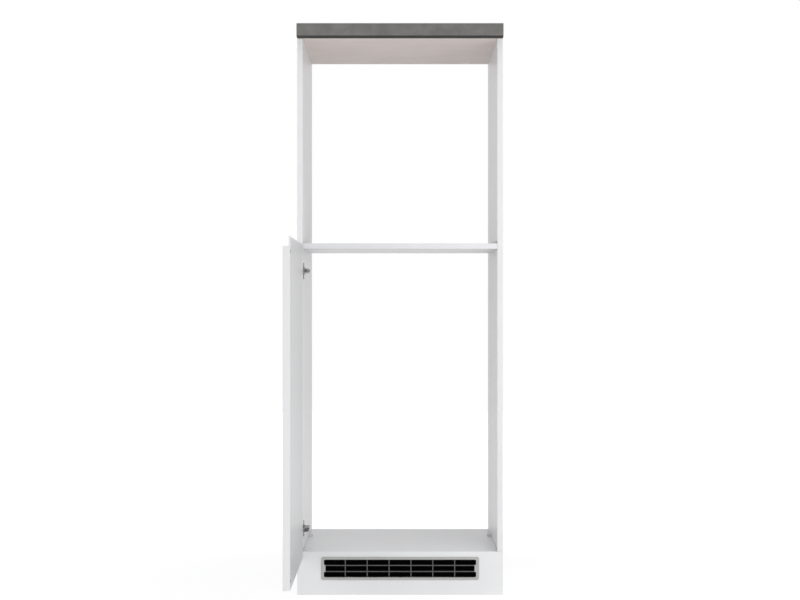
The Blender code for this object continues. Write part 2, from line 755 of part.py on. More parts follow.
def corner_connectors(coat):
    """Build the screw-on connectors that tie each board's top to the sides."""
    shape = bmesh.new()
    outline = rounded_rectangle(CONNECTOR_WIDTH / 2, CONNECTOR_LENGTH / 2, CONNECTOR_CORNER, SMALL_CORNER_STEPS)
    prism(shape, outline, 0, CONNECTOR_HEIGHT)
    made = solid("connector", shape, coat)
    round_edges(made, CONNECTOR_EDGE_ROUND)
    along = CONNECTOR_LENGTH * CONNECTOR_SCREW_SHARE
    seats = bmesh.new()
    wood_screw_hole(seats, axis_frame((0, along, CONNECTOR_HEIGHT), (0, 0, -1)))
    wood_screw_hole(seats, axis_frame((CONNECTOR_WIDTH / 2, -along, CONNECTOR_HEIGHT / 2), (-1, 0, 0)))
    cut(made, "screw_seats", seats)
    placings = []
    across = INNER_HALF - SEAM - CONNECTOR_WIDTH / 2
    for group, surface in (("bottom", PLINTH_HEIGHT), ("shelf", SHELF_TOP)):
        for end, setback in CONNECTOR_SETBACKS.items():
            left = shift(-across, FRONT + setback, surface + SEAM)
            right = shift(across, FRONT + setback, surface + SEAM) @ Matrix.Rotation(pi, 4, "Z")
            placings.append((f"{group}_connector_left_{end}", left, None))
            placings.append((f"{group}_connector_right_{end}", right, None))
    repeat(made, placings)


def plinth_brackets(coat):
    """Build the gusseted angle brackets that hold the plinth to the sides."""
    wall = BRACKET_THICKNESS
    leg = [(0, 0), (BRACKET_LEG, 0), (BRACKET_LEG, wall), (wall, wall), (wall, BRACKET_LEG), (0, BRACKET_LEG)]
    shape = bmesh.new()
    prism(shape, leg, -BRACKET_HEIGHT / 2, BRACKET_HEIGHT / 2)
    made = solid("bracket", shape, coat)
    start = wall / 2
    reach = BRACKET_LEG - wall
    gusset = bmesh.new()
    prism(gusset, [(start, start), (reach, start), (start, reach)], -BRACKET_WEB / 2, BRACKET_WEB / 2)
    join(made, "gusset", gusset)
    out = BRACKET_LEG * BRACKET_SCREW_REACH_SHARE
    seats = bmesh.new()
    for share in BRACKET_SCREW_SHARES:
        height = BRACKET_HEIGHT * share
        wood_screw_hole(seats, axis_frame((wall, out, height), (-1, 0, 0)))
        wood_screw_hole(seats, axis_frame((out, wall, height), (0, -1, 0)))
    cut(made, "screw_seats", seats)
    y = FRONT + BOARD + SEAM
    height = BRACKET_RISE + BRACKET_HEIGHT / 2
    left = shift(SEAM - INNER_HALF, y, height)
    right = shift(INNER_HALF - SEAM, y, height) @ Matrix.Rotation(pi / 2, 4, "Z")
    repeat(made, [("plinth_bracket_left", left, None), ("plinth_bracket_right", right, None)])


def on_both_hinges(master, name):
    """Replace a finished hinge piece by its copies at the two hinge heights."""
    repeat(master, [(f"{name}_{label}", hinge_frame(height), None) for label, height in HINGE_HEIGHTS.items()])


def mounting_plates(coat):
    """Build the winged plates on the side panel, each with the ridge that carries an arm."""
    face = SEAM + PLATE_THICKNESS
    foot = SEAM + PLATE_THICKNESS / 2
    strip = rounded_rectangle((PLATE_REAR - PLATE_FRONT) / 2, PLATE_HALF_WIDTH, PLATE_CORNER, SMALL_CORNER_STEPS)
    shape = bmesh.new()
    prism(shape, strip, SEAM, face, ON_SIDE @ shift((PLATE_REAR + PLATE_FRONT) / 2, 0, 0))
    made = solid("plate", shape, coat)
    outline = slot_outline(Vector((PLATE_WING_SETBACK, 0)), Vector((0, 1)), PLATE_SCREW_SPREAD, PLATE_WING_RADIUS)
    wings = bmesh.new()
    prism(wings, outline, SEAM, face, ON_SIDE)
    join(made, "wings", wings)
    profile = [
        (RIDGE_FRONT, foot),
        (RIDGE_REAR, foot),
        (RIDGE_REAR, RIDGE_SHOULDER),
        (RIDGE_REAR - RIDGE_SLOPE, RIDGE_TOP),
        (RIDGE_FRONT + RIDGE_SLOPE, RIDGE_TOP),
        (RIDGE_FRONT, RIDGE_SHOULDER),
    ]
    half = FORK_INNER - RUNNING_CLEARANCE
    ridge = bmesh.new()
    prism(ridge, profile, -half, half, SWAPPED)
    join(made, "ridge", ridge)
    root = ARM_HALF_WIDTH + PIN_HEAD_HEIGHT + 2 * RUNNING_CLEARANCE
    fins = bmesh.new()
    for up in (-1, 1):
        profile = [(foot, up * root), (FIN_HEIGHT, up * root), (foot, up * FIN_REACH)]
        prism(fins, profile, -FIN_REAR, -FIN_FRONT, ON_FRONT)
    join(made, "fins", fins)
    holes = bmesh.new()
    for frame in plate_screw_frames().values():
        plate_screw_hole(holes, frame)
    bore = axis_frame((0, CLAMP_SCREW_SETBACK, 0), (1, 0, 0))
    rod(holes, ARM_SCREW_SHANK + SCREW_CLEARANCE, CLAMP_SCREW_TIP - SCREW_CLEARANCE, RIDGE_TOP + OVERRUN, bore)
    cut(made, "holes", holes)
    on_both_hinges(made, "mounting_plate")


def arm_outline():
    """Return the arm's plan outline: a nose round the pivots, a sloping shoulder, a long level back."""
    lean = atan2(ARM_OUTER.y - ARM_INNER.y, ARM_OUTER.x - ARM_INNER.x)
    outline = arc_points(ARM_INNER, ARM_NOSE_RADIUS, pi, 3 * pi / 2 + lean)
    outline += arc_points(ARM_OUTER, ARM_NOSE_RADIUS, 3 * pi / 2 + lean, 2 * pi)
    outline += [(ARM_REACH, ARM_SHOULDER)]
    rear = (ARM_REACH - ARM_REAR_ROUND, ARM_LENGTH - ARM_REAR_ROUND)
    outline += arc_points(rear, ARM_REAR_ROUND, 0, pi / 2)
    outline += [(ARM_FOOT + ARM_REAR_ROUND, ARM_LENGTH)]
    outline += [(ARM_FOOT, ARM_LENGTH - ARM_REAR_ROUND), (ARM_FOOT, ARM_FOOT_START)]
    return outline


def hinge_arms(coat):
    """Build the channel-shaped arms, open at the nose and towards the side panel."""
    shape = bmesh.new()
    prism(shape, arm_outline(), -ARM_HALF_WIDTH, ARM_HALF_WIDTH)
    made = solid("arm", shape, coat)
    round_edges(made, ARM_EDGE_ROUND)
    web = ARM_REACH - ARM_WALL
    far = ARM_REACH + OVERRUN
    hollow = [
        (-OVERRUN, -ARM_SHOULDER),
        (far, -ARM_SHOULDER),
        (far, ARM_NOSE_OPENING),
        (web, ARM_NOSE_OPENING),
        (web, ARM_LENGTH + OVERRUN),
        (-OVERRUN, ARM_LENGTH + OVERRUN),
    ]
    channel = bmesh.new()
    prism(channel, hollow, -FORK_INNER, FORK_INNER)
    cut(made, "channel", channel)
    reach = ARM_HALF_WIDTH + OVERRUN
    holes = bmesh.new()
    for pivot in (ARM_OUTER, ARM_INNER):
        rod(holes, PIN_HOLE, -reach, reach, shift(*pivot, 0), PIN_FACETS)
    radius = ARM_SCREW_SHANK + SCREW_CLEARANCE
    outline = slot_outline(Vector((CLAMP_SCREW_SETBACK, 0)), Vector((1, 0)), ARM_SLOT_HALF_LENGTH, radius)
    prism(holes, outline, web - OVERRUN, far, ON_SIDE)
    rod(holes, radius, web - OVERRUN, far, axis_frame((0, ADJUSTER_SETBACK, 0), (1, 0, 0)))
    cut(made, "holes", holes)
    on_both_hinges(made, "hinge_arm")


def arm_pins(coat):
    """Build the riveted pins that carry the links in each arm's nose."""
    face = ARM_HALF_WIDTH + RUNNING_CLEARANCE
    end = face + PIN_HEAD_HEIGHT
    profile = [(0, -end), (PIN_HEAD_CROWN_RADIUS, -end), (PIN_HEAD_RADIUS, -face), (PIN_RADIUS, -face)]
    profile += [(radius, -height) for radius, height in reversed(profile)]
    for name, pivot in (("outer_arm_pin", ARM_OUTER), ("inner_arm_pin", ARM_INNER)):
        shape = bmesh.new()
        lathe(shape, profile, shift(*pivot, 0), PIN_FACETS)
        on_both_hinges(solid(name, shape, coat), name)


def arm_screws(coat):
    """Build the clamp screw and the side adjusting screw of each arm."""
    seat = ARM_REACH + RUNNING_CLEARANCE
    top = seat + ARM_SCREW_HEAD_HEIGHT
    recess = SCREW_RECESS_DEPTH * RECESS_WALL_SHARE
    clamp = [(0, CLAMP_SCREW_TIP), (ARM_SCREW_SHANK, CLAMP_SCREW_TIP), (ARM_SCREW_SHANK, seat)]
    clamp += [(ARM_SCREW_HEAD, seat), (ARM_SCREW_CROWN, top), (SCREW_RECESS_RADIUS, top)]
    clamp += [(SCREW_RECESS_RADIUS, top - recess), (0, top - SCREW_RECESS_DEPTH)]
    tip = RIDGE_TOP + RUNNING_CLEARANCE
    neck = tip + ADJUSTER_NECK_LENGTH
    head = ARM_REACH + ADJUSTER_PROUD
    adjuster = [(0, tip), (ADJUSTER_NECK_RADIUS, tip), (ARM_SCREW_SHANK, neck), (ARM_SCREW_SHANK, head)]
    adjuster += [(SCREW_RECESS_RADIUS, head), (SCREW_RECESS_RADIUS, head - recess), (0, head - SCREW_RECESS_DEPTH)]
    screws = (("arm_clamp_screw", clamp, CLAMP_SCREW_SETBACK), ("arm_adjusting_screw", adjuster, ADJUSTER_SETBACK))
    for name, profile, setback in screws:
        shape = bmesh.new()
        lathe(shape, profile, axis_frame((0, setback, 0), (1, 0, 0)))
        on_both_hinges(solid(name, shape, coat), name)


def plate_screws(coat):
    """Build the screws that hold the mounting plates to the side panel."""
    profile = [(0, 0), (PLATE_SCREW_HEAD, 0), (PLATE_SCREW_SHANK, PLATE_SCREW_HEAD_HEIGHT)]
    profile += [(PLATE_SCREW_SHANK, PLATE_SCREW_LENGTH), (0, PLATE_SCREW_LENGTH)]
    shape = bmesh.new()
    lathe(shape, profile, Matrix.Identity(4))
    placings = []
    for label, height in HINGE_HEIGHTS.items():
        for word, frame in plate_screw_frames().items():
            placings.append((f"plate_screw_{label}_{word}", hinge_frame(height) @ frame, None))
    repeat(solid("plate_screw", shape, coat), placings)


def on_link_axes(master, name, axes):
    """Replace a finished link by its copies on the two hinges' axes."""
    repeat(master, [(f"{name}_{label}", Matrix.Identity(4), axis) for label, axis in axes.items()])


def outer_links(axes, coat):
    """Build the outer links: two bowed cheeks on one barrel that turns on the outer arm pin."""
    barrel = CHEEK_INNER + LINK_CHEEK / 2
    shape = bmesh.new()
    rod(shape, BARREL_RADIUS, -barrel, barrel, Matrix.Identity(4), PIN_FACETS)
    made = solid("outer_link", shape, coat)
    eye = LINK_EYE_RADIUS
    outline = bowed_link_outline(ARM_OUTER, CUP_OUTER, OUTER_LINK_BOW, LINK_HALF_THICKNESS, eye, eye)
    cheeks = bmesh.new()
    prism(cheeks, about(outline, ARM_OUTER), CHEEK_INNER, CHEEK_OUTER)
    prism(cheeks, about(outline, ARM_OUTER), -CHEEK_OUTER, -CHEEK_INNER)
    join(made, "cheeks", cheeks)
    reach = CHEEK_OUTER + OVERRUN
    holes = bmesh.new()
    rod(holes, PIN_HOLE, -reach, reach, Matrix.Identity(4), PIN_FACETS)
    rod(holes, PIN_HOLE, -reach, reach, shift(*(CUP_OUTER - ARM_OUTER), 0), PIN_FACETS)
    cut(made, "eyes", holes)
    on_link_axes(made, "outer_link", axes)


def inner_links(axes, coat):
    """Build the inner links: one bowed bar each, with an eye on the cup pin and a slot on the arm pin."""
    half = INNER_LINK_HALF_WIDTH
    slot_centre = CUP_INNER - INNER_SPAN
    root = slot_centre + INNER_SPAN.normalized() * INNER_LINK_ROOT
    outline = bowed_link_outline(
        root, CUP_INNER, INNER_LINK_BOW, LINK_HALF_THICKNESS, SLOT_HALF_WIDTH, LINK_EYE_RADIUS
    )
    shape = bmesh.new()
    prism(shape, about(outline, CUP_INNER), -half, half)
    made = solid("inner_link", shape, coat)
    eye = bmesh.new()
    rim = slot_outline(slot_centre, INNER_SPAN, SLOT_PLAY, SLOT_HALF_WIDTH + SLOT_WALL)
    prism(eye, about(rim, CUP_INNER), -half, half)
    join(made, "slot_eye", eye)
    reach = half + OVERRUN
    holes = bmesh.new()
    rod(holes, PIN_HOLE, -reach, reach, Matrix.Identity(4), PIN_FACETS)
    prism(holes, about(slot_outline(slot_centre, INNER_SPAN, SLOT_PLAY, SLOT_HALF_WIDTH), CUP_INNER), -reach, reach)
    cut(made, "eyes", holes)
    on_link_axes(made, "inner_link", axes)


def door_point(setback, depth, height):
    """Return a place on the door, measured from the axis of its outer cup pivots.

    Setback runs from the hinge edge across the door, depth from its inner face outwards.
    """
    return Vector((setback - OUTER_CUP_PIVOT_SETBACK, OUTER_CUP_PIVOT_DEPTH - depth, height))


CUP_MOUTH = axis_frame(door_point(CUP_SETBACK, 0, 0), (0, -1, 0))
CUP_PIN_PLACE = door_point(INNER_CUP_PIVOT_SETBACK, INNER_CUP_PIVOT_DEPTH, 0)


def cup_screw_frames():
    """Return the frames of one cup's screws in the door's frame, about the hinge's middle."""
    frames = {}
    for up, word in ((-1, "bottom"), (1, "top")):
        place = door_point(CUP_SETBACK + WING_SCREW_OFFSET, FLANGE_TOP, up * WING_SCREW_SPREAD)
        frames[word] = axis_frame(place, (0, -1, 0))
    return frames


def door_panel(axis, coat):
    """Build the door with its finger-pull rebate and hinge borings."""
    low = door_point(0, DOOR_THICKNESS, DOOR_BOTTOM)
    high = door_point(DOOR_WIDTH, 0, DOOR_TOP)
    shape = bmesh.new()
    block(shape, low, high)
    made = solid("door_panel", shape, coat, axis)
    round_edges(made, DOOR_EDGE_ROUND)
    root = high.z - PULL_REBATE_HEIGHT
    lip = door_point(0, PULL_LIP, 0).y
    outline = [(low.y - OVERRUN, root)]
    outline += arc_points((lip - PULL_ROOT_ROUND, root + PULL_ROOT_ROUND), PULL_ROOT_ROUND, -pi / 2, 0)
    outline += [(lip, high.z + OVERRUN), (low.y - OVERRUN, high.z + OVERRUN)]
    rebate = bmesh.new()
    prism(rebate, outline, low.x - OVERRUN, high.x + OVERRUN, ON_SIDE)
    cut(made, "pull_rebate", rebate)
    borings = bmesh.new()
    for height in HINGE_HEIGHTS.values():
        rise = shift(0, 0, height)
        rod(borings, CUP_RADIUS + CUP_CLEARANCE, -OVERRUN, CUP_DEPTH + CUP_CLEARANCE, rise @ CUP_MOUTH, CUP_FACETS)
        for frame in cup_screw_frames().values():
            wood_screw_hole(borings, rise @ frame)
    cut(made, "hinge_borings", borings)


def ear_outline():
    """Return a cup ear's outline from the flange to the cup's floor, in the door's frame."""
    top = FLANGE_TOP + EAR_STEP
    floor = CUP_DEPTH - CUP_WALL / 2
    corners = [
        (EAR_NEAR_SETBACK, top),
        (EAR_FAR_SETBACK - EAR_SLOPE, top),
        (EAR_FAR_SETBACK, top + EAR_SLOPE),
        (EAR_FAR_SETBACK, floor - EAR_SLOPE),
        (EAR_FAR_SETBACK - EAR_SLOPE, floor),
        (EAR_NEAR_SETBACK, floor),
    ]
    return [tuple(door_point(setback, depth, 0).xy) for setback, depth in corners]


def flange_outline():
    """Return the cup flange's outline about the cup's middle: a ring with a screw wing above and below."""
    rim = CUP_RADIUS + FLANGE_RIM
    far = WING_SCREW_OFFSET + WING_RADIUS
    near = WING_SCREW_OFFSET - WING_RADIUS
    far_angle = acos(far / rim)
    near_angle = acos(near / rim)
    outline = arc_points((0, 0), rim, -far_angle, far_angle, 2 * CORNER_STEPS)
    outline += arc_points((WING_SCREW_OFFSET, WING_SCREW_SPREAD), WING_RADIUS, 0, pi, 2 * CORNER_STEPS)
    outline += arc_points((0, 0), rim, near_angle, 2 * pi - near_angle, CUP_FACETS // 2)
    outline += arc_points((WING_SCREW_OFFSET, -WING_SCREW_SPREAD), WING_RADIUS, pi, 2 * pi, 2 * CORNER_STEPS)
    return outline


def hinge_cups(axis, coat):
    """Build the cups with their winged flange, link exit, pin ears and outer trunnions."""
    on_door = Matrix.Translation(door_point(CUP_SETBACK, 0, 0)) @ ON_FRONT
    shape = bmesh.new()
    prism(shape, flange_outline(), FLANGE_TOP, -SEAM, on_door)
    made = solid("cup", shape, coat)
    outside = [(0, FLANGE_TOP / 2), (CUP_RADIUS, FLANGE_TOP / 2), (CUP_RADIUS, CUP_DEPTH - CUP_WALL)]
    outside += [(CUP_RADIUS - CUP_WALL, CUP_DEPTH), (0, CUP_DEPTH)]
    bowl = bmesh.new()
    lathe(bowl, outside, CUP_MOUTH, CUP_FACETS)
    join(made, "bowl", bowl)
    inside = bmesh.new()
    rod(inside, CUP_RADIUS - CUP_WALL, FLANGE_TOP - OVERRUN, CUP_DEPTH - CUP_WALL, CUP_MOUTH, CUP_FACETS)
    cut(made, "hollow", inside)
    ears = bmesh.new()
    for low in (FORK_INNER, -FORK_INNER - EAR_THICKNESS):
        prism(ears, ear_outline(), low, low + EAR_THICKNESS)
    join(made, "ears", ears)
    start = INNER_LINK_HALF_WIDTH + RUNNING_CLEARANCE
    end = FORK_INNER + EAR_THICKNESS / 2
    trunnions = bmesh.new()
    rod(trunnions, PIN_RADIUS, start, end, Matrix.Identity(4), PIN_FACETS)
    rod(trunnions, PIN_RADIUS, -end, -start, Matrix.Identity(4), PIN_FACETS)
    join(made, "trunnions", trunnions)
    holes = bmesh.new()
    half = FORK_INNER - EAR_STEP
    exit_low = door_point(-OVERRUN, EXIT_DEPTH, -half)
    exit_high = door_point(EXIT_FAR_SETBACK, FLANGE_TOP - OVERRUN, half)
    block(holes, exit_low, exit_high)
    for frame in cup_screw_frames().values():
        wood_screw_hole(holes, frame)
    cut(made, "link_exit", holes)
    reach = FORK_INNER + EAR_THICKNESS + OVERRUN
    bore = bmesh.new()
    rod(bore, PIN_HOLE, -reach, reach, Matrix.Translation(CUP_PIN_PLACE), PIN_FACETS)
    cut(made, "pin_bore", bore)
    repeat(made, [(f"hinge_cup_{label}", shift(0, 0, height), axis) for label, height in HINGE_HEIGHTS.items()])


def cup_fasteners(axis, coat):
    """Build the inner pin of each cup and the screws that hold the cups to the door."""
    end = FORK_INNER + EAR_THICKNESS
    pin = bmesh.new()
    rod(pin, PIN_RADIUS, -end, end, Matrix.Translation(CUP_PIN_PLACE), PIN_FACETS)
    screw = bmesh.new()
    wood_screw(screw, Matrix.Identity(4))
    pins = []
    screws = []
    for label, height in HINGE_HEIGHTS.items():
        rise = shift(0, 0, height)
        pins.append((f"cup_pin_{label}", rise, axis))
        for word, frame in cup_screw_frames().items():
            screws.append((f"cup_screw_{label}_{word}", rise @ frame, axis))
    repeat(solid("cup_pin", pin, coat), pins)
    repeat(solid("cup_screw", screw, coat), screws)


def joint_axis(name, place, height, turn):
    """Return an empty on a joint's axis, turned from the closed pose to the open one."""
    frame = hinge_frame(height) @ shift(*place, 0) @ Matrix.Rotation(turn, 4, "Z")
    return link_object(name, None, frame, None)


def build_carcass():
    """Build the fixed boards, the grille and what ties them together."""
    melamine = finish("white_melamine", (0.80, 0.80, 0.80), 0.35)
    laminate = finish("slate_laminate", (0.17, 0.168, 0.16), 0.45)
    backing = finish("beige_backing", (0.52, 0.47, 0.44), 0.7)
    silver = finish("silver_plastic", (0.42, 0.42, 0.42), 0.4)
    black_plastic = finish("black_plastic", (0.01, 0.01, 0.01), 0.5)
    beech = finish("beech_wood", (0.62, 0.45, 0.28), 0.6)
    grey_plastic = finish("grey_plastic", (0.45, 0.45, 0.45), 0.5)
    side_panel("left", melamine)
    side_panel("right", melamine)
    level_board("bottom_panel", FRONT + BOARD + SEAM, BOTTOM_DEPTH, PLINTH_HEIGHT, "bottom", melamine)
    level_board("fixed_shelf", FRONT, SHELF_DEPTH, SHELF_TOP, "shelf", melamine)
    plinth_board(melamine)
    vent_grille(silver)
    vent_louvre(black_plastic)
    worktop(laminate, backing)
    dowels(beech)
    corner_connectors(grey_plastic)
    plinth_brackets(grey_plastic)


def build_door():
    """Build the door and its two hinges at rest, open at a right angle."""
    door_face = finish("white_gloss_front", (0.82, 0.82, 0.82), 0.15)
    nickel = finish("nickel_plated_steel", (0.66, 0.65, 0.62), 0.25, 1.0)
    door_axis = joint_axis("door_axis", OPEN_OUTER, 0, -OPEN_ANGLE)
    outer_axes = {}
    inner_axes = {}
    for label, height in HINGE_HEIGHTS.items():
        outer_turn = OUTER_LINK_TURN_SHARE * OPEN_ANGLE
        inner_turn = INNER_LINK_TURN_SHARE * OPEN_ANGLE
        outer_axes[label] = joint_axis(f"outer_link_axis_{label}", ARM_OUTER, height, outer_turn)
        inner_axes[label] = joint_axis(f"inner_link_axis_{label}", OPEN_INNER, height, inner_turn)
    door_panel(door_axis, door_face)
    hinge_cups(door_axis, nickel)
    cup_fasteners(door_axis, nickel)
    mounting_plates(nickel)
    plate_screws(nickel)
    hinge_arms(nickel)
    arm_pins(nickel)
    arm_screws(nickel)
    outer_links(outer_axes, nickel)
    inner_links(inner_axes, nickel)


clear_scene()
build_carcass()
build_door()
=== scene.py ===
"""Finishes, small fasteners, studio and camera for the tall fridge housing unit.

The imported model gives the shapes. Every class below dresses one sub-assembly in the
materials its real pieces are made of, and adds the screws and dampers too small to be
modelled with it. Lengths are in metres, the front of the unit faces -Y and +Z is up.
"""

import json
import logging
from collections.abc import Mapping, Sequence
from dataclasses import dataclass, field
from enum import Enum
from math import cos, pi, radians, sin

import bmesh
import bpy
from mathutils import Matrix, Vector

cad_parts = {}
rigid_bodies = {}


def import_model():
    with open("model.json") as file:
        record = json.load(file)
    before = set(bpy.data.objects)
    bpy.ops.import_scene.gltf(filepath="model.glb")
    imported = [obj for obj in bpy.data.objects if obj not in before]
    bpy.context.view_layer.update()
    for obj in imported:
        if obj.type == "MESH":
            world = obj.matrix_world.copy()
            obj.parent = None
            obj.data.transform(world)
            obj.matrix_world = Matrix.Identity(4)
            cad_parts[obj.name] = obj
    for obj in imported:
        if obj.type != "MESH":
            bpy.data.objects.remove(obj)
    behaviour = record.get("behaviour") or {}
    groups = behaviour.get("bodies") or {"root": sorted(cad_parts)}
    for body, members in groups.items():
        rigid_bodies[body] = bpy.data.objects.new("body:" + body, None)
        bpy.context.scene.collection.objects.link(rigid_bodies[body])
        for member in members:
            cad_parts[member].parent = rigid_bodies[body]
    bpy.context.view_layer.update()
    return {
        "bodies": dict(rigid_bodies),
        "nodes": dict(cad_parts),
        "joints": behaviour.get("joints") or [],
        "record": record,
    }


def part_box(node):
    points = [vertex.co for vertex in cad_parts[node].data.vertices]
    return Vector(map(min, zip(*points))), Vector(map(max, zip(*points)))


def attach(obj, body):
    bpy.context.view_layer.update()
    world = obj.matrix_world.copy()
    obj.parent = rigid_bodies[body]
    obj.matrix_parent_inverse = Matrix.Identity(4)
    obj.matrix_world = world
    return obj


LOG = logging.getLogger("fridge_housing")

MM = 0.001

Node = bpy.types.Node
Socket = bpy.types.NodeSocket
Tree = bpy.types.NodeTree
Material = bpy.types.Material
Mesh = bpy.types.Mesh
Object = bpy.types.Object
Frame = Mapping[str, Mapping[str, Object]]

# A face whose unit normal has more than this along an axis looks along that axis
FACING = 0.9

# Turned pieces stay sharp where their facets meet at more than this
SHARP_ANGLE = radians(35)


def linear(colour: str, share: float = 1.0) -> tuple[float, float, float, float]:
    """Turn an sRGB hex colour into the linear one that shaders take.

    Args:
        colour: Six hex digits after a hash sign.
        share: The part of its brightness that is kept.

    Returns:
        Linear red, green and blue, and an alpha of one.
    """
    channels = []
    for start in (1, 3, 5):
        value = int(colour[start : start + 2], 16) / 255
        channels.append(share * (value / 12.92 if value <= 0.04045 else ((value + 0.055) / 1.055) ** 2.4))
    return (*channels, 1.0)


def add_node(
    tree: Tree, kind: str, inputs: Mapping[str | int, object] | None = None, **settings: str
) -> Node:
    """Add a shader node with its settings and links.

    Args:
        tree: The tree of a material or of the world.
        kind: The node's type name.
        inputs: What each input takes, by its name or number: another node's output or a plain value.
        **settings: The node's own settings, such as its operation.

    Returns:
        The new node.
    """
    node = tree.nodes.new(kind)
    for name, setting in settings.items():
        setattr(node, name, setting)
    for key, given in (inputs or {}).items():
        if isinstance(given, Socket):
            tree.links.new(given, node.inputs[key])
        else:
            node.inputs[key].default_value = given
    return node


def background_rays(tree: Tree) -> Socket:
    """Mask the rays that show what lies behind the unit: seen directly, mirrored or through glass.

    Args:
        tree: The tree of the floor's material or of the world.

    Returns:
        One for those rays and zero for the light that falls on the unit.
    """
    ray = add_node(tree, "ShaderNodeLightPath")
    shown = ray.outputs["Is Camera Ray"]
    for kind in ("Is Glossy Ray", "Is Transmission Ray"):
        either = add_node(tree, "ShaderNodeMath", {0: shown, 1: ray.outputs[kind]}, operation="MAXIMUM")
        shown = either.outputs[0]
    return shown


class Side(Enum):
    """Faces of a board by the way they look, as the axis and sign of their normal."""

    REAR = ("Y", 1)
    FOOT = ("Z", -1)
    HEAD = ("Z", 1)


@dataclass(frozen=True)
class Finish:
    """A surface finish: its name, its written colour and its gloss.

    Attributes:
        name: The material's name.
        colour: The sRGB colour of the clean surface.
        roughness: The shader's roughness.
    """

    name: str
    colour: str
    roughness: float

    def start(self) -> tuple[Material, Tree, Node, Node]:
        """Open a material with its colour and roughness set.

        Returns:
            The material, its tree, its shader and its object-space coordinates.
        """
        made = bpy.data.materials.new(self.name)
        made.use_nodes = True
        tree = made.node_tree
        shader = tree.nodes["Principled BSDF"]
        shader.inputs["Base Color"].default_value = linear(self.colour)
        shader.inputs["Roughness"].default_value = self.roughness
        made.diffuse_color = linear(self.colour)
        return made, tree, shader, add_node(tree, "ShaderNodeTexCoord")

    def make(self) -> Material:
        """Return the finished material."""
        raise NotImplementedError


@dataclass(frozen=True)
class CoveredBoard(Finish):
    """Chipboard with a covering that leaves some edges raw, where its chips and glue show.

    Attributes:
        chip: Size of the chips in a raw edge, in metres.
        chip_tones: Colours of the chips, from dark to light.
        chip_middle: Where the middle tone lies between the other two.
        chip_roughness: Roughness of a raw edge.
        raw: The edges with no covering, at least one.
    """

    chip: float = 2.2 * MM
    chip_tones: tuple[str, str, str] = ("#A58A5E", "#C9B186", "#DECBA6")
    chip_middle: float = 0.55
    chip_roughness: float = 0.9
    raw: tuple[Side, ...] = (Side.REAR,)

    def raw_mask(self, tree: Tree, normal: Socket) -> Socket:
        """Mask the unbanded edges by the way their faces look.

        Args:
            tree: The material's tree.
            normal: The face's direction in the object's space.

        Returns:
            One on raw edges and zero on covered faces.
        """
        split = add_node(tree, "ShaderNodeSeparateXYZ", {"Vector": normal})
        mask = None
        for axis, sign in (side.value for side in self.raw):
            inputs = {0: split.outputs[axis], 1: sign * FACING}
            beyond = "GREATER_THAN" if sign > 0 else "LESS_THAN"
            facing = add_node(tree, "ShaderNodeMath", inputs, operation=beyond)
            if mask:
                inputs = {0: mask.outputs[0], 1: facing.outputs[0]}
                mask = add_node(tree, "ShaderNodeMath", inputs, operation="MAXIMUM")
            else:
                mask = facing
        return mask.outputs[0]

    def chipboard(self, tree: Tree, point: Socket) -> tuple[Socket, Socket]:
        """Lay wood chips in glue.

        Args:
            tree: The material's tree.
            point: Object-space coordinates.

        Returns:
            The chips' colour and their height.
        """
        along = add_node(tree, "ShaderNodeMapping", {"Vector": point, "Scale": (1.0, 1.0, 0.35)})
        inputs = {"Vector": along.outputs["Vector"], "Scale": 1 / self.chip, "Randomness": 1.0}
        cells = add_node(tree, "ShaderNodeTexVoronoi", inputs)
        tone = add_node(tree, "ShaderNodeSeparateColor", {"Color": cells.outputs["Color"]})
        ramp = add_node(tree, "ShaderNodeValToRGB", {"Fac": tone.outputs["Red"]})
        dark, middle, light = self.chip_tones
        ramp.color_ramp.elements[0].color = linear(dark)
        ramp.color_ramp.elements[1].color = linear(light)
        ramp.color_ramp.elements.new(self.chip_middle).color = linear(middle)
        return ramp.outputs["Color"], cells.outputs["Distance"]

    def uncover(self, tree: Tree, place: Node, colour: Socket, normal: Socket) -> None:
        """Join the covering to the shader, with bare chipboard on the raw edges.

        Args:
            tree: The material's tree.
            place: The node of the object's coordinates.
            colour: The covering's colour.
            normal: The covering's relief.
        """
        shader = tree.nodes["Principled BSDF"]
        mask = self.raw_mask(tree, place.outputs["Normal"])
        chips, height = self.chipboard(tree, place.outputs["Object"])
        surface = add_node(tree, "ShaderNodeMix", {0: mask, 6: colour, 7: chips}, data_type="RGBA")
        inputs = {"Value": mask, "To Min": self.roughness, "To Max": self.chip_roughness}
        gloss = add_node(tree, "ShaderNodeMapRange", inputs)
        inputs = {"Height": height, "Strength": 0.6, "Distance": 0.3 * MM}
        rough = add_node(tree, "ShaderNodeBump", inputs)
        inputs = {0: mask, 4: normal, 5: rough.outputs["Normal"]}
        relief = add_node(tree, "ShaderNodeMix", inputs, data_type="VECTOR")
        tree.links.new(surface.outputs[2], shader.inputs["Base Color"])
        tree.links.new(gloss.outputs["Result"], shader.inputs["Roughness"])
        tree.links.new(relief.outputs[1], shader.inputs["Normal"])


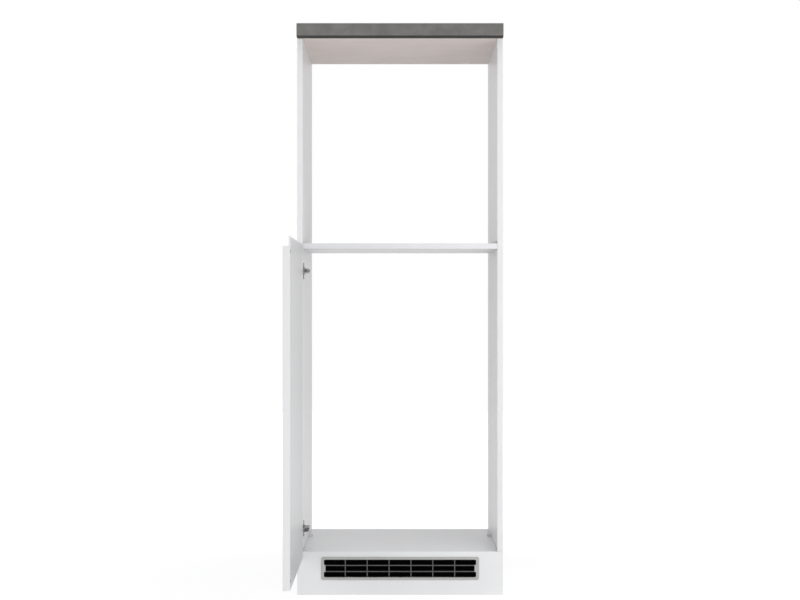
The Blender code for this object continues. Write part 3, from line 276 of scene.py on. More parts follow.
@dataclass(frozen=True)
class MelamineBoard(CoveredBoard):
    """White melamine paper pressed on chipboard, with ABS edge band on the seen edges.

    The press plate leaves a fine pearl grain, and the edges that face the wall or the
    floor have no band.

    Attributes:
        pearl: Size of the press plate's pearls, in metres.
        patch: Size of the patches over which the paper's print drifts, in metres.
        drift: The brightness that the darkest patches keep, as a share.
    """

    pearl: float = 1.4 * MM
    patch: float = 140 * MM
    drift: float = 0.975

    def make(self) -> Material:
        """Return the material, with raw chipboard on the unbanded edges."""
        made, tree, _, place = self.start()
        point = place.outputs["Object"]
        # Paper prints vary by a shade over a hand's width, which keeps large faces from looking drawn.
        inputs = {"Vector": point, "Scale": 1 / self.patch, "Detail": 3}
        shade = add_node(tree, "ShaderNodeTexNoise", inputs)
        inputs = {"Value": shade.outputs["Fac"], "From Min": 0.3, "From Max": 0.7}
        soft = add_node(tree, "ShaderNodeMapRange", inputs)
        inputs = {0: soft.outputs["Result"], 6: linear(self.colour), 7: linear(self.colour, self.drift)}
        paper = add_node(tree, "ShaderNodeMix", inputs, data_type="RGBA")
        # The pearls are drawn coarser than the real 0.4 mm, or the render would not hold them.
        inputs = {"Vector": point, "Scale": 1 / self.pearl, "Smoothness": 0.8}
        pearls = add_node(tree, "ShaderNodeTexVoronoi", inputs, feature="SMOOTH_F1")
        inputs = {"Height": pearls.outputs["Distance"], "Strength": 0.10, "Distance": 0.05 * MM}
        relief = add_node(tree, "ShaderNodeBump", inputs)
        self.uncover(tree, place, paper.outputs[2], relief.outputs["Normal"])
        return made


@dataclass(frozen=True)
class LacqueredFoil(Finish):
    """White lacquered foil laid over the door's front and edges, with plain melamine on its back, drawn
    greyer as painted shade.

    A smooth, even white with a clear gloss and the slight waviness that foil has over
    board. The back is drawn a shade greyer as painted shade, and has no gloss of its own.

    Attributes:
        wave: Length of the foil's waviness, in metres.
        patch: Size of the patches over which the colour drifts, in metres.
        drift: The brightness that the darkest patches keep, as a share.
        back: Colour of the back, greyer than the front as painted shade for the less light it gets.
        dulling: How much rougher the back is.
    """

    wave: float = 35 * MM
    patch: float = 180 * MM
    drift: float = 0.98
    back: str = "#D4D4D4"
    dulling: float = 0.2

    def make(self) -> Material:
        """Return the material."""
        made, tree, shader, place = self.start()
        point = place.outputs["Object"]
        waves = add_node(tree, "ShaderNodeTexNoise", {"Vector": point, "Scale": 1 / self.wave, "Detail": 2})
        inputs = {"Height": waves.outputs["Fac"], "Strength": 0.12, "Distance": 0.06 * MM}
        relief = add_node(tree, "ShaderNodeBump", inputs)
        shade = add_node(tree, "ShaderNodeTexNoise", {"Vector": point, "Scale": 1 / self.patch, "Detail": 3})
        inputs = {0: shade.outputs["Fac"], 6: linear(self.colour), 7: linear(self.colour, self.drift)}
        foil = add_node(tree, "ShaderNodeMix", inputs, data_type="RGBA")
        # The door stands open at rest, so its back looks along +X in its own space.
        split = add_node(tree, "ShaderNodeSeparateXYZ", {"Vector": place.outputs["Normal"]})
        inputs = {0: split.outputs["X"], 1: FACING}
        inward = add_node(tree, "ShaderNodeMath", inputs, operation="GREATER_THAN").outputs[0]
        # Painted shade: the back, which looks along +X, is drawn greyer than the front.
        inputs = {0: inward, 6: foil.outputs[2], 7: linear(self.back)}
        surface = add_node(tree, "ShaderNodeMix", inputs, data_type="RGBA")
        inputs = {"Value": inward, "To Min": self.roughness, "To Max": self.roughness + self.dulling}
        gloss = add_node(tree, "ShaderNodeMapRange", inputs)
        tree.links.new(surface.outputs[2], shader.inputs["Base Color"])
        tree.links.new(gloss.outputs["Result"], shader.inputs["Roughness"])
        tree.links.new(relief.outputs["Normal"], shader.inputs["Normal"])
        shader.inputs["Coat Weight"].default_value = 0.1
        shader.inputs["Coat Roughness"].default_value = 0.15
        return made


@dataclass(frozen=True)
class SlateLaminate(CoveredBoard):
    """High-pressure laminate with a printed slate decor, rolled over the worktop's front.

    Soft clouds of lighter and darker grey with a fine mineral speckle, under a satin coat.
    The edge towards the wall has none.

    Attributes:
        light: The lighter grey of the print's clouds.
        dark: The darker grey of the print's clouds.
        underside_shade_grey: Painted shade: the dark grey given to the faces that look down under the rolled
            front edge.
        shade_share: How far that painted shade replaces the print, as a share.
        shade_normal_z: Rise of the face's normal where the painted shade starts and where it is full.
        cloud: Size of the clouds, in metres.
        speckle: Size of the mineral speckle, in metres.
    """

    light: str = "#7C7B78"
    dark: str = "#646360"
    underside_shade_grey: str = "#34322F"
    shade_share: float = 0.85
    shade_normal_z: tuple[float, float] = (-0.25, -0.65)
    cloud: float = 55 * MM
    speckle: float = 1.2 * MM

    def make(self) -> Material:
        """Return the material."""
        made, tree, shader, place = self.start()
        point = place.outputs["Object"]
        inputs = {"Vector": point, "Scale": 1 / self.cloud, "Detail": 8, "Roughness": 0.62, "Distortion": 0.6}
        clouds = add_node(tree, "ShaderNodeTexNoise", inputs)
        ramp = add_node(tree, "ShaderNodeValToRGB", {"Fac": clouds.outputs["Fac"]})
        ramp.color_ramp.elements[0].position = 0.32
        ramp.color_ramp.elements[0].color = linear(self.dark)
        ramp.color_ramp.elements[1].position = 0.70
        ramp.color_ramp.elements[1].color = linear(self.light)
        inputs = {"Vector": point, "Scale": 1 / self.speckle, "Detail": 2}
        grit = add_node(tree, "ShaderNodeTexNoise", inputs).outputs["Fac"]
        inputs = {"Value": grit, "From Min": 0.35, "From Max": 0.65, "To Max": 0.35}
        strength = add_node(tree, "ShaderNodeMapRange", inputs)
        inputs = {0: strength.outputs["Result"], 6: ramp.outputs["Color"], 7: linear(self.dark)}
        decor = add_node(tree, "ShaderNodeMix", inputs, data_type="RGBA")
        relief = add_node(tree, "ShaderNodeBump", {"Height": grit, "Strength": 0.25, "Distance": 0.08 * MM})
        # Painted shade: faces that look down under the rolled front edge are darkened, which draws a thin
        # shaded line under the front.
        split = add_node(tree, "ShaderNodeSeparateXYZ", {"Vector": place.outputs["Normal"]})
        start, end = self.shade_normal_z
        inputs = {"Value": split.outputs["Z"], "From Min": start, "From Max": end, "To Max": self.shade_share}
        under = add_node(tree, "ShaderNodeMapRange", inputs).outputs["Result"]
        inputs = {0: under, 6: decor.outputs[2], 7: linear(self.underside_shade_grey)}
        shaded_decor = add_node(tree, "ShaderNodeMix", inputs, data_type="RGBA")
        self.uncover(tree, place, shaded_decor.outputs[2], relief.outputs["Normal"])
        # The painted shade's faces are made rougher as well, so they don't mirror the bright floor.
        inputs = {"Value": under, "From Max": self.shade_share, "To Min": self.roughness, "To Max": 1.0}
        dull = add_node(tree, "ShaderNodeMapRange", inputs)
        inputs = {0: shader.inputs["Roughness"].links[0].from_socket, 1: dull.outputs["Result"]}
        gloss = add_node(tree, "ShaderNodeMath", inputs, operation="MAXIMUM")
        tree.links.new(gloss.outputs[0], shader.inputs["Roughness"])
        shader.inputs["Specular IOR Level"].default_value = 0.35
        return made


@dataclass(frozen=True)
class BackingSheet(Finish):
    """Unglazed backing paper under the worktop: matt, warm beige, with faint fibres.

    Attributes:
        fibre: Width of the paper's fibres, in metres.
        patch: Size of the patches where fibres lie closer, in metres.
        drift: The brightness that the darkest fibres keep, as a share.
    """

    fibre: float = 1.5 * MM
    patch: float = 90 * MM
    drift: float = 0.93

    def make(self) -> Material:
        """Return the material."""
        made, tree, shader, place = self.start()
        point = place.outputs["Object"]
        along = add_node(tree, "ShaderNodeMapping", {"Vector": point, "Scale": (0.12, 1.0, 1.0)})
        inputs = {"Vector": along.outputs["Vector"], "Scale": 1 / self.fibre, "Detail": 4}
        fibres = add_node(tree, "ShaderNodeTexNoise", inputs).outputs["Fac"]
        inputs = {"Vector": point, "Scale": 1 / self.patch, "Detail": 3}
        patches = add_node(tree, "ShaderNodeTexNoise", inputs)
        inputs = {0: fibres, 1: patches.outputs["Fac"]}
        both = add_node(tree, "ShaderNodeMath", inputs, operation="MULTIPLY")
        inputs = {"Value": both.outputs[0], "From Min": 0.12, "From Max": 0.4}
        shade = add_node(tree, "ShaderNodeMapRange", inputs)
        inputs = {0: shade.outputs["Result"], 6: linear(self.colour, self.drift), 7: linear(self.colour)}
        tint = add_node(tree, "ShaderNodeMix", inputs, data_type="RGBA")
        relief = add_node(tree, "ShaderNodeBump", {"Height": fibres, "Strength": 0.15, "Distance": 0.05 * MM})
        tree.links.new(tint.outputs[2], shader.inputs["Base Color"])
        tree.links.new(relief.outputs["Normal"], shader.inputs["Normal"])
        return made


@dataclass(frozen=True)
class MouldedPlastic(Finish):
    """Injection-moulded plastic with the fine spark-eroded grain of its mould.

    Attributes:
        grain: Size of the mould's grain, in metres.
        relief: How far the grain tips the surface.
        flow: Size of the streaks that the melt leaves, in metres.
        shift: How far the colour drifts over the streaks, as a share.
        gleam: The shader's specular level.
    """

    grain: float = 0.7 * MM
    relief: float = 0.2
    flow: float = 25 * MM
    shift: float = 0.06
    gleam: float = 0.5

    def make(self) -> Material:
        """Return the material."""
        made, tree, shader, place = self.start()
        point = place.outputs["Object"]
        grain = add_node(tree, "ShaderNodeTexNoise", {"Vector": point, "Scale": 1 / self.grain, "Detail": 2})
        inputs = {"Height": grain.outputs["Fac"], "Strength": self.relief, "Distance": 0.06 * MM}
        bump = add_node(tree, "ShaderNodeBump", inputs)
        streaks = add_node(tree, "ShaderNodeTexNoise", {"Vector": point, "Scale": 1 / self.flow, "Detail": 3})
        inputs = {0: streaks.outputs["Fac"], 6: linear(self.colour, 1 - self.shift), 7: linear(self.colour)}
        tint = add_node(tree, "ShaderNodeMix", inputs, data_type="RGBA")
        tree.links.new(tint.outputs[2], shader.inputs["Base Color"])
        tree.links.new(bump.outputs["Normal"], shader.inputs["Normal"])
        shader.inputs["Specular IOR Level"].default_value = self.gleam
        return made


@dataclass(frozen=True)
class LacqueredGrille(MouldedPlastic):
    """ABS grille sprayed silver, bright on its frame; the recessed bar field within it is darkened as painted
    shade.

    Attributes:
        bar_shade: Painted shade: the darker grey of the bar field, where the recessed bar grid lies in
            shadow.
        half_width: Half the width of the bar field.
        half_height: Half the height of the bar field.
        middle: Height of the field's middle above the floor.
    """

    bar_shade: str = "#50504E"
    half_width: float = 0.2176
    half_height: float = 0.0261
    middle: float = 0.0772

    def make(self) -> Material:
        """Return the material, darker within the bar field as painted shade."""
        made = super().make()
        tree = made.node_tree
        shader = tree.nodes["Principled BSDF"]
        frame_tint = shader.inputs["Base Color"].links[0].from_socket
        place = add_node(tree, "ShaderNodeTexCoord")
        split = add_node(tree, "ShaderNodeSeparateXYZ", {"Vector": place.outputs["Object"]})
        inputs = {0: split.outputs["X"], 1: 0.0, 2: self.half_width}
        across = add_node(tree, "ShaderNodeMath", inputs, operation="COMPARE")
        inputs = {0: split.outputs["Z"], 1: self.middle, 2: self.half_height}
        upright = add_node(tree, "ShaderNodeMath", inputs, operation="COMPARE")
        inputs = {0: across.outputs[0], 1: upright.outputs[0]}
        inside = add_node(tree, "ShaderNodeMath", inputs, operation="MULTIPLY")
        # Painted shade: the recessed bar field inside the frame is drawn in a darker grey.
        inputs = {0: inside.outputs[0], 6: frame_tint, 7: linear(self.bar_shade)}
        tint = add_node(tree, "ShaderNodeMix", inputs, data_type="RGBA")
        tree.links.new(tint.outputs[2], shader.inputs["Base Color"])
        return made


@dataclass(frozen=True)
class TurnedBeech(Finish):
    """Beech dowel stock: pale pinkish brown with short dark flecks along the grain.

    Attributes:
        fleck: Width of a medullary fleck, in metres.
        dark: Colour of the flecks.
    """

    fleck: float = 0.5 * MM
    dark: str = "#A97C4F"

    def make(self) -> Material:
        """Return the material."""
        made, tree, shader, place = self.start()
        inputs = {"Vector": place.outputs["Object"], "Scale": (0.2, 1.0, 1.0)}
        along = add_node(tree, "ShaderNodeMapping", inputs)
        inputs = {"Vector": along.outputs["Vector"], "Scale": 1 / self.fleck, "Detail": 3}
        flecks = add_node(tree, "ShaderNodeTexNoise", inputs)
        ramp = add_node(tree, "ShaderNodeValToRGB", {"Fac": flecks.outputs["Fac"]})
        ramp.color_ramp.elements[0].position = 0.35
        ramp.color_ramp.elements[0].color = linear(self.dark)
        ramp.color_ramp.elements[1].position = 0.6
        ramp.color_ramp.elements[1].color = linear(self.colour)
        tree.links.new(ramp.outputs["Color"], shader.inputs["Base Color"])
        return made


@dataclass(frozen=True)
class PlatedSteel(Finish):
    """Pressed or turned steel under a bright plate.

    The plate follows the rolled sheet, so it mirrors its surroundings with a soft blur
    and fine rolling lines, and its gloss varies where it was handled.

    Attributes:
        line: Spacing of the rolling lines, in metres.
        touch: Size of the patches left by handling, in metres.
        blur: How far the roughness drifts either way.
        tarnish: How far the colour darkens where the plate is thin, as a share.
    """

    line: float = 0.35 * MM
    touch: float = 6 * MM
    blur: float = 0.07
    tarnish: float = 0.12

    def make(self) -> Material:
        """Return the material."""
        made, tree, shader, place = self.start()
        shader.inputs["Metallic"].default_value = 1.0
        point = place.outputs["Object"]
        along = add_node(tree, "ShaderNodeMapping", {"Vector": point, "Scale": (1.0, 0.08, 1.0)})
        inputs = {"Vector": along.outputs["Vector"], "Scale": 1 / self.line, "Detail": 2}
        lines = add_node(tree, "ShaderNodeTexNoise", inputs)
        inputs = {"Height": lines.outputs["Fac"], "Strength": 0.12, "Distance": 0.03 * MM}
        bump = add_node(tree, "ShaderNodeBump", inputs)
        inputs = {"Vector": point, "Scale": 1 / self.touch, "Detail": 4}
        touched = add_node(tree, "ShaderNodeTexNoise", inputs).outputs["Fac"]
        inputs = {
            "Value": touched,
            "From Min": 0.3,
            "From Max": 0.7,
            "To Min": self.roughness - self.blur,
            "To Max": self.roughness + self.blur,
        }
        gloss = add_node(tree, "ShaderNodeMapRange", inputs)
        inputs = {0: touched, 6: linear(self.colour), 7: linear(self.colour, 1 - self.tarnish)}
        plate = add_node(tree, "ShaderNodeMix", inputs, data_type="RGBA")
        tree.links.new(plate.outputs[2], shader.inputs["Base Color"])
        tree.links.new(gloss.outputs["Result"], shader.inputs["Roughness"])
        tree.links.new(bump.outputs["Normal"], shader.inputs["Normal"])
        return made


@dataclass(frozen=True)
class ClearDamper(Finish):
    """Clear polyurethane, moulded in drops: milky, soft and a little glossy.

    Attributes:
        haze: Size of the milky patches, in metres.
        blur: How far the roughness drifts either way.
    """

    haze: float = 2 * MM
    blur: float = 0.08

    def make(self) -> Material:
        """Return the material."""
        made, tree, shader, place = self.start()
        inputs = {"Vector": place.outputs["Object"], "Scale": 1 / self.haze, "Detail": 2}
        milk = add_node(tree, "ShaderNodeTexNoise", inputs).outputs["Fac"]
        inputs = {"Value": milk, "To Min": self.roughness - self.blur, "To Max": self.roughness + self.blur}
        gloss = add_node(tree, "ShaderNodeMapRange", inputs)
        tree.links.new(gloss.outputs["Result"], shader.inputs["Roughness"])
        shader.inputs["Transmission Weight"].default_value = 0.85
        shader.inputs["IOR"].default_value = 1.5
        return made


@dataclass(frozen=True)
class StudioFloor(Finish):
    """White seamless paper that the camera sees as plain white, with the unit's shadow kept.

    Attributes:
        glow: Light that the camera sees on top of what falls on the paper.
        shade: Share of the paper's own light that the camera sees.
        near: Distance from the unit at which the paper starts to turn plain white.
        far: Distance from the unit at which the paper is plain white.
        fleck: Size of the paper's grain, in metres.
    """

    glow: float = 0.80
    shade: float = 0.30
    near: float = 0.7
    far: float = 2.6
    fleck: float = 3 * MM

    def make(self) -> Material:
        """Return the material."""
        made, tree, shader, place = self.start()
        point = place.outputs["Object"]
        grain = add_node(tree, "ShaderNodeTexNoise", {"Vector": point, "Scale": 1 / self.fleck, "Detail": 2})
        inputs = {"Height": grain.outputs["Fac"], "Strength": 0.03, "Distance": 0.05 * MM}
        bump = add_node(tree, "ShaderNodeBump", inputs)
        tree.links.new(bump.outputs["Normal"], shader.inputs["Normal"])
        seen = (self.shade, self.shade, self.shade, 1.0)
        paper = add_node(tree, "ShaderNodeBsdfDiffuse", {"Color": seen})
        away = add_node(tree, "ShaderNodeVectorMath", {0: point}, operation="LENGTH")
        inputs = {
            "Value": away.outputs["Value"],
            "From Min": self.near,
            "From Max": self.far,
            "To Min": self.glow,
            "To Max": 1.0,
        }
        fade = add_node(tree, "ShaderNodeMapRange", inputs, interpolation_type="SMOOTHSTEP")
        inputs = {"Color": linear("#FFFFFF"), "Strength": fade.outputs["Result"]}
        glow = add_node(tree, "ShaderNodeEmission", inputs)
        both = add_node(tree, "ShaderNodeAddShader", {0: paper.outputs[0], 1: glow.outputs[0]})
        inputs = {0: background_rays(tree), 1: shader.outputs[0], 2: both.outputs[0]}
        mixed = add_node(tree, "ShaderNodeMixShader", inputs)
        tree.links.new(mixed.outputs[0], tree.nodes["Material Output"].inputs["Surface"])
        return made


def dress(frame: Frame, names: Sequence[str], coat: Material) -> None:
    """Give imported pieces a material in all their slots.

    Args:
        frame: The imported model.
        names: The pieces' names, or the beginnings that several names share, ended by a star.
        coat: The material.
    """
    for name in names:
        if name.endswith("*"):
            found = [piece for known, piece in frame["nodes"].items() if known.startswith(name[:-1])]
        else:
            found = [frame["nodes"][name]]
        for piece in found:
            for place in piece.material_slots:
                place.material = coat


def place_mesh(name: str, mesh: Mesh, frame: Matrix, body: str) -> Object:
    """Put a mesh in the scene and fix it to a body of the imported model.

    Args:
        name: The new piece's name.
        mesh: Its mesh, which several pieces may share.
        frame: Its place.
        body: The body that it moves with.

    Returns:
        The new object.
    """
    made = bpy.data.objects.new(name, mesh)
    bpy.context.scene.collection.objects.link(made)
    made.matrix_world = frame
    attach(made, body)
    return made


def turned_mesh(name: str, profile: Sequence[tuple[float, float]], facets: int, coat: Material) -> Mesh:
    """Turn a profile about Z into a closed mesh.

    Args:
        name: The mesh's name.
        profile: Radius and height pairs that start and end on the axis.
        facets: Number of facets round the axis.
        coat: The material.

    Returns:
        The mesh.
    """
    shape = bmesh.new()
    rings = []
    for radius, height in profile:
        count = facets if radius else 1
        ring = []
        for step in range(count):
            angle = 2 * pi * step / facets
            ring.append(shape.verts.new((radius * cos(angle), radius * sin(angle), height)))
        rings.append(ring)
    for lower, upper in zip(rings, rings[1:]):
        for step in range(facets):
            after = (step + 1) % facets
            corners = []
            for ring, index in ((lower, step), (lower, after), (upper, after), (upper, step)):
                corner = ring[index % len(ring)]
                if corner not in corners:
                    corners.append(corner)
            shape.faces.new(corners)
    bmesh.ops.recalc_face_normals(shape, faces=shape.faces)
    mesh = bpy.data.meshes.new(name)
    shape.to_mesh(mesh)
    shape.free()
    mesh.shade_smooth()
    mesh.set_sharp_from_angle(angle=SHARP_ANGLE)
    mesh.materials.append(coat)
    return mesh


@dataclass(frozen=True)
class CrossScrew:
    """A countersunk screw with a cross recess, its head at the origin and its shank down -Z.

    Attributes:
        length: Head's top to the shank's end.
        head: Radius of the head.
        sink: Height of the countersink.
        shank: Radius of the shank.
        arm: Reach of the recess's arms.
        slot: Width of the recess's arms.
        depth: Depth of the recess.
        crown: Height of each step of the head's rounded rim.
        flat_share: Radius of the head's flat middle, as a share of the head's.
        facets: Number of facets round the screw.
        sharp_angle: The recess stays sharp where its faces meet at more than this.
    """

    length: float
    head: float = 2.6 * MM
    sink: float = 1.5 * MM
    shank: float = 1.3 * MM
    arm: float = 1.5 * MM
    slot: float = 0.65 * MM
    depth: float = 0.9 * MM
    crown: float = 0.12 * MM
    flat_share: float = 0.8
    facets: int = 32
    sharp_angle: float = radians(30)

    def mesh(self, name: str, coat: Material) -> Mesh:
        """Build the screw once, for all its copies.

        Args:
            name: The mesh's name.
            coat: The material.

        Returns:
            The mesh with its recess cut.
        """
        profile = [
            (0.0, 0.0),
            (self.head * self.flat_share, 0.0),
            (self.head, -self.crown),
            (self.head, -2 * self.crown),
            (self.shank, -self.sink),
            (self.shank, -self.length),
            (0.0, -self.length),
        ]
        body = bpy.data.objects.new(f"{name}_blank", turned_mesh(name, profile, self.facets, coat))
        cross = bmesh.new()
        arm = Matrix.Diagonal((2 * self.arm, self.slot, 2 * self.depth, 1.0))
        for turn in (0.0, pi / 2):
            bmesh.ops.create_cube(cross, size=1.0, matrix=Matrix.Rotation(turn, 4, "Z") @ arm)
        cutter_mesh = bpy.data.meshes.new(f"{name}_recess")
        cross.to_mesh(cutter_mesh)
        cross.free()
        cutter = bpy.data.objects.new(f"{name}_recess", cutter_mesh)
        for item in (body, cutter):
            bpy.context.scene.collection.objects.link(item)
        step = body.modifiers.new("recess", "BOOLEAN")
        step.operation = "DIFFERENCE"
        step.solver = "EXACT"
        step.use_self = True
        step.object = cutter
        graph = bpy.context.evaluated_depsgraph_get()
        mesh = bpy.data.meshes.new_from_object(body.evaluated_get(graph))
        for item in (body, cutter):
            bpy.data.objects.remove(item, do_unlink=True)
        mesh.name = name
        mesh.set_sharp_from_angle(angle=self.sharp_angle)
        return mesh


@dataclass
class Carcass:
    """The boards, the worktop and the dowels that hold them together.

    Attributes:
        frame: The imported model.
    """

    frame: Frame

    def dress(self) -> None:
        """Finish every board for the way its edges are closed."""
        side_edges = (Side.REAR, Side.FOOT, Side.HEAD)
        sides = MelamineBoard("melamine_chipboard_sides", "#EBEBEB", 0.38, raw=side_edges)
        boards = MelamineBoard("melamine_chipboard_boards", "#EBEBEB", 0.38)
        plinth = MelamineBoard("melamine_chipboard_plinth", "#F0F0F0", 0.36, raw=(Side.REAR, Side.FOOT))
        dress(self.frame, ["side_panel_left", "side_panel_right"], sides.make())
        dress(self.frame, ["bottom_panel", "fixed_shelf"], boards.make())
        dress(self.frame, ["plinth_board"], plinth.make())
        dress(self.frame, ["worktop"], SlateLaminate("slate_laminate", "#72716E", 0.45).make())
        dress(self.frame, ["worktop_backing"], BackingSheet("laminate_backing_paper", "#F4E9E3", 0.75).make())
        beech = TurnedBeech("turned_beech", "#D2A878", 0.6).make()
        dress(self.frame, ["bottom_dowel_*", "shelf_dowel_*", "worktop_dowel_*"], beech)


@dataclass
class VentGrille:
    """The silver grille in the plinth and the black louvre behind it.

    Attributes:
        frame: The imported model.
    """

    frame: Frame

    def dress(self) -> None:
        """Finish the grille in silver lacquer and the louvre in near-black plastic, whose black is painted
        shade for the dark space behind the slots.
        """
        silver = LacqueredGrille("silver_lacquered_abs", "#B9B9B6", 0.38, grain=0.5 * MM, relief=0.12)
        # Painted shade: the louvre is near black so the slots behind the grille show as shadow.
        black = MouldedPlastic("black_polypropylene_painted_shade", "#020202", 0.9, relief=0.1, gleam=0.03)
        dress(self.frame, ["vent_grille"], silver.make())
        dress(self.frame, ["vent_louvre"], black.make())


@dataclass
class CornerFittings:
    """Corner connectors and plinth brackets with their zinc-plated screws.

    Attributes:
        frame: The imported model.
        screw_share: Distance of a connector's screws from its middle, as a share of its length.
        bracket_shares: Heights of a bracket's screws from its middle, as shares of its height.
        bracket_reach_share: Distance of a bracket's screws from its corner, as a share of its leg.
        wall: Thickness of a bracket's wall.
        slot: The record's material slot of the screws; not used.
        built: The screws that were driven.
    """

    frame: Frame
    screw_share: float = 0.25
    bracket_shares: tuple[float, float] = (-0.3, 0.3)
    bracket_reach_share: float = 0.68
    wall: float = 3.0 * MM
    slot: str = "nickel_plated_steel"
    built: list[Object] = field(default_factory=list)

    def dress(self) -> None:
        """Finish the plastic pieces in light grey nylon."""
        nylon = MouldedPlastic("light_grey_nylon", "#E2E2E2", 0.42, grain=0.5 * MM)
        dress(self.frame, ["bottom_connector_*", "shelf_connector_*", "plinth_bracket_*"], nylon.make())

    def build(self, coat: Material) -> None:
        """Drive the screws of every connector and bracket.

        Args:
            coat: The screws' plating.
        """
        upright = CrossScrew(6.6 * MM).mesh("connector_screw_upright", coat)
        level = CrossScrew(12.2 * MM).mesh("connector_screw_level", coat)
        short = CrossScrew(2.8 * MM, sink=1.4 * MM).mesh("bracket_screw", coat)
        for name in sorted(self.frame["nodes"]):
            if "_connector_" in name:
                self.connector_screws(name, upright, level)
            if name.startswith("plinth_bracket_"):
                self.bracket_screws(name, short)

    def drive(self, name: str, mesh: Mesh, place: Matrix) -> None:
        """Drive one screw.

        Args:
            name: The screw's name.
            mesh: The screw.
            place: The place of its head's top.
        """
        self.built.append(place_mesh(name, mesh, place, "cabinet"))

    def connector_screws(self, name: str, upright: Mesh, level: Mesh) -> None:
        """Drive the two screws of one connector.

        Args:
            name: The connector's name.
            upright: The screw into the board below.
            level: The screw into the side panel.
        """
        low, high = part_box(name)
        side = -1 if "_left_" in name else 1
        middle = (low + high) / 2
        along = (high.y - low.y) * self.screw_share * -side
        top = Matrix.Translation((middle.x, middle.y + along, high.z))
        inner = high.x if side < 0 else low.x
        turn = Matrix.Rotation(-side * pi / 2, 4, "Y")
        flank = Matrix.Translation((inner, middle.y - along, middle.z)) @ turn
        self.drive(f"{name}_screw_down", upright, top)
        self.drive(f"{name}_screw_side", level, flank)

    def bracket_screws(self, name: str, mesh: Mesh) -> None:
        """Drive the four screws of one bracket.

        Args:
            name: The bracket's name.
            mesh: The screw.
        """
        low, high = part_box(name)
        side = -1 if name.endswith("left") else 1
        leg = high.y - low.y
        height = high.z - low.z
        reach = leg * self.bracket_reach_share
        corner = low.x if side < 0 else high.x
        to_side = Matrix.Rotation(-side * pi / 2, 4, "Y")
        to_plinth = Matrix.Rotation(-pi / 2, 4, "X")
        for index, share in enumerate(self.bracket_shares):
            z = (low.z + high.z) / 2 + height * share
            on_side = Matrix.Translation((corner - side * self.wall, low.y + reach, z))
            on_plinth = Matrix.Translation((corner - side * reach, low.y + self.wall, z))
            self.drive(f"{name}_screw_side_{index}", mesh, on_side @ to_side)
            self.drive(f"{name}_screw_plinth_{index}", mesh, on_plinth @ to_plinth)


@dataclass
class Door:
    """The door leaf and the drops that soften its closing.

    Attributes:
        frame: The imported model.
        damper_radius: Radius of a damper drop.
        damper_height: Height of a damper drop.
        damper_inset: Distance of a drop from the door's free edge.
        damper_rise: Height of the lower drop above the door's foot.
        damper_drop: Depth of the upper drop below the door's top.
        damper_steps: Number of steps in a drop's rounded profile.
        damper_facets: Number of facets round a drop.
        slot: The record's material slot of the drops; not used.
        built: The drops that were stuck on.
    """

    frame: Frame
    damper_radius: float = 4.0 * MM
    damper_height: float = 1.5 * MM
    damper_inset: float = 8.0 * MM
    damper_rise: float = 24.0 * MM
    damper_drop: float = 40.0 * MM
    damper_steps: int = 5
    damper_facets: int = 24
    slot: str = "grey_plastic"
    built: list[Object] = field(default_factory=list)

    def dress(self) -> None:
        """Finish the leaf in lacquered foil."""
        dress(self.frame, ["door_panel"], LacqueredFoil("white_lacquered_foil", "#E6E6E6", 0.22).make())

    def build(self, coat: Material) -> None:
        """Stick a drop near the free edge, at the top and at the bottom of the inner face.

        Args:
            coat: The drops' material.
        """
        low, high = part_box("door_panel")
        profile = [(0.0, 0.0), (self.damper_radius, 0.0)]
        for step in range(1, self.damper_steps):
            angle = step * pi / 2 / self.damper_steps
            profile.append((self.damper_radius * cos(angle), self.damper_height * sin(angle)))
        profile.append((0.0, self.damper_height))
        mesh = turned_mesh("damper_drop", profile, self.damper_facets, coat)
        turn = Matrix.Rotation(pi / 2, 4, "Y")
        y = low.y + self.damper_inset
        for word, z in (("lower", low.z + self.damper_rise), ("upper", high.z - self.damper_drop)):
            place = Matrix.Translation((high.x, y, z)) @ turn
            self.built.append(place_mesh(f"damper_drop_{word}", mesh, place, "door"))


@dataclass
class ConcealedHinges:
    """The two cup hinges: pressed cups, arms and plates, riveted pins and plated screws.

    Attributes:
        frame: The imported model.
    """

    frame: Frame

    def dress(self) -> None:
        """Finish pressings, links and screws in nickel plate: the cups near white as a painted highlight, and
        the arms, plates and links a dark grey as painted shade.
        """
        # Painted highlight: the cups' nickel plate is drawn near white.
        bright = PlatedSteel("nickel_pressed_steel_painted_highlight", "#F2F1EF", 0.30).make()
        # Painted shade: the arms, plates and links take a dark grey for the same nickel plate.
        pressed = PlatedSteel("nickel_pressed_steel_painted_shade", "#929190", 0.32).make()
        links = PlatedSteel("nickel_link_steel_painted_shade", "#8C8B8A", 0.34).make()
        pins = PlatedSteel("bright_turned_steel", "#CFCDCA", 0.18, line=0.2 * MM).make()
        dress(self.frame, ["hinge_cup_*"], bright)
        dress(self.frame, ["hinge_arm_*", "mounting_plate_*"], pressed)
        dress(self.frame, ["outer_link_*", "inner_link_*"], links)
        dress(self.frame, ["outer_arm_pin_*", "inner_arm_pin_*", "cup_pin_*"], pins)
        dress(self.frame, ["plate_screw_*", "cup_screw_*"], pins)
        dress(self.frame, ["arm_clamp_screw_*", "arm_adjusting_screw_*"], pins)


@dataclass(frozen=True)
class Softbox:
    """One soft rectangular lamp that faces the unit.

    Attributes:
        name: The lamp's name.
        place: Where it hangs.
        size: Its width and height.
        power: Its power in watts.
    """

    name: str
    place: tuple[float, float, float]
    size: tuple[float, float]
    power: float

    def hang(self, target: Vector) -> None:
        """Hang the lamp.

        Args:
            target: What it faces.
        """
        data = bpy.data.lights.new(self.name, "AREA")
        data.shape = "RECTANGLE"
        data.size, data.size_y = self.size
        data.energy = self.power
        made = bpy.data.objects.new(self.name, data)
        bpy.context.scene.collection.objects.link(made)
        made.location = self.place
        made.rotation_euler = (target - Vector(self.place)).to_track_quat("-Z", "Y").to_euler()
        made.visible_camera = False


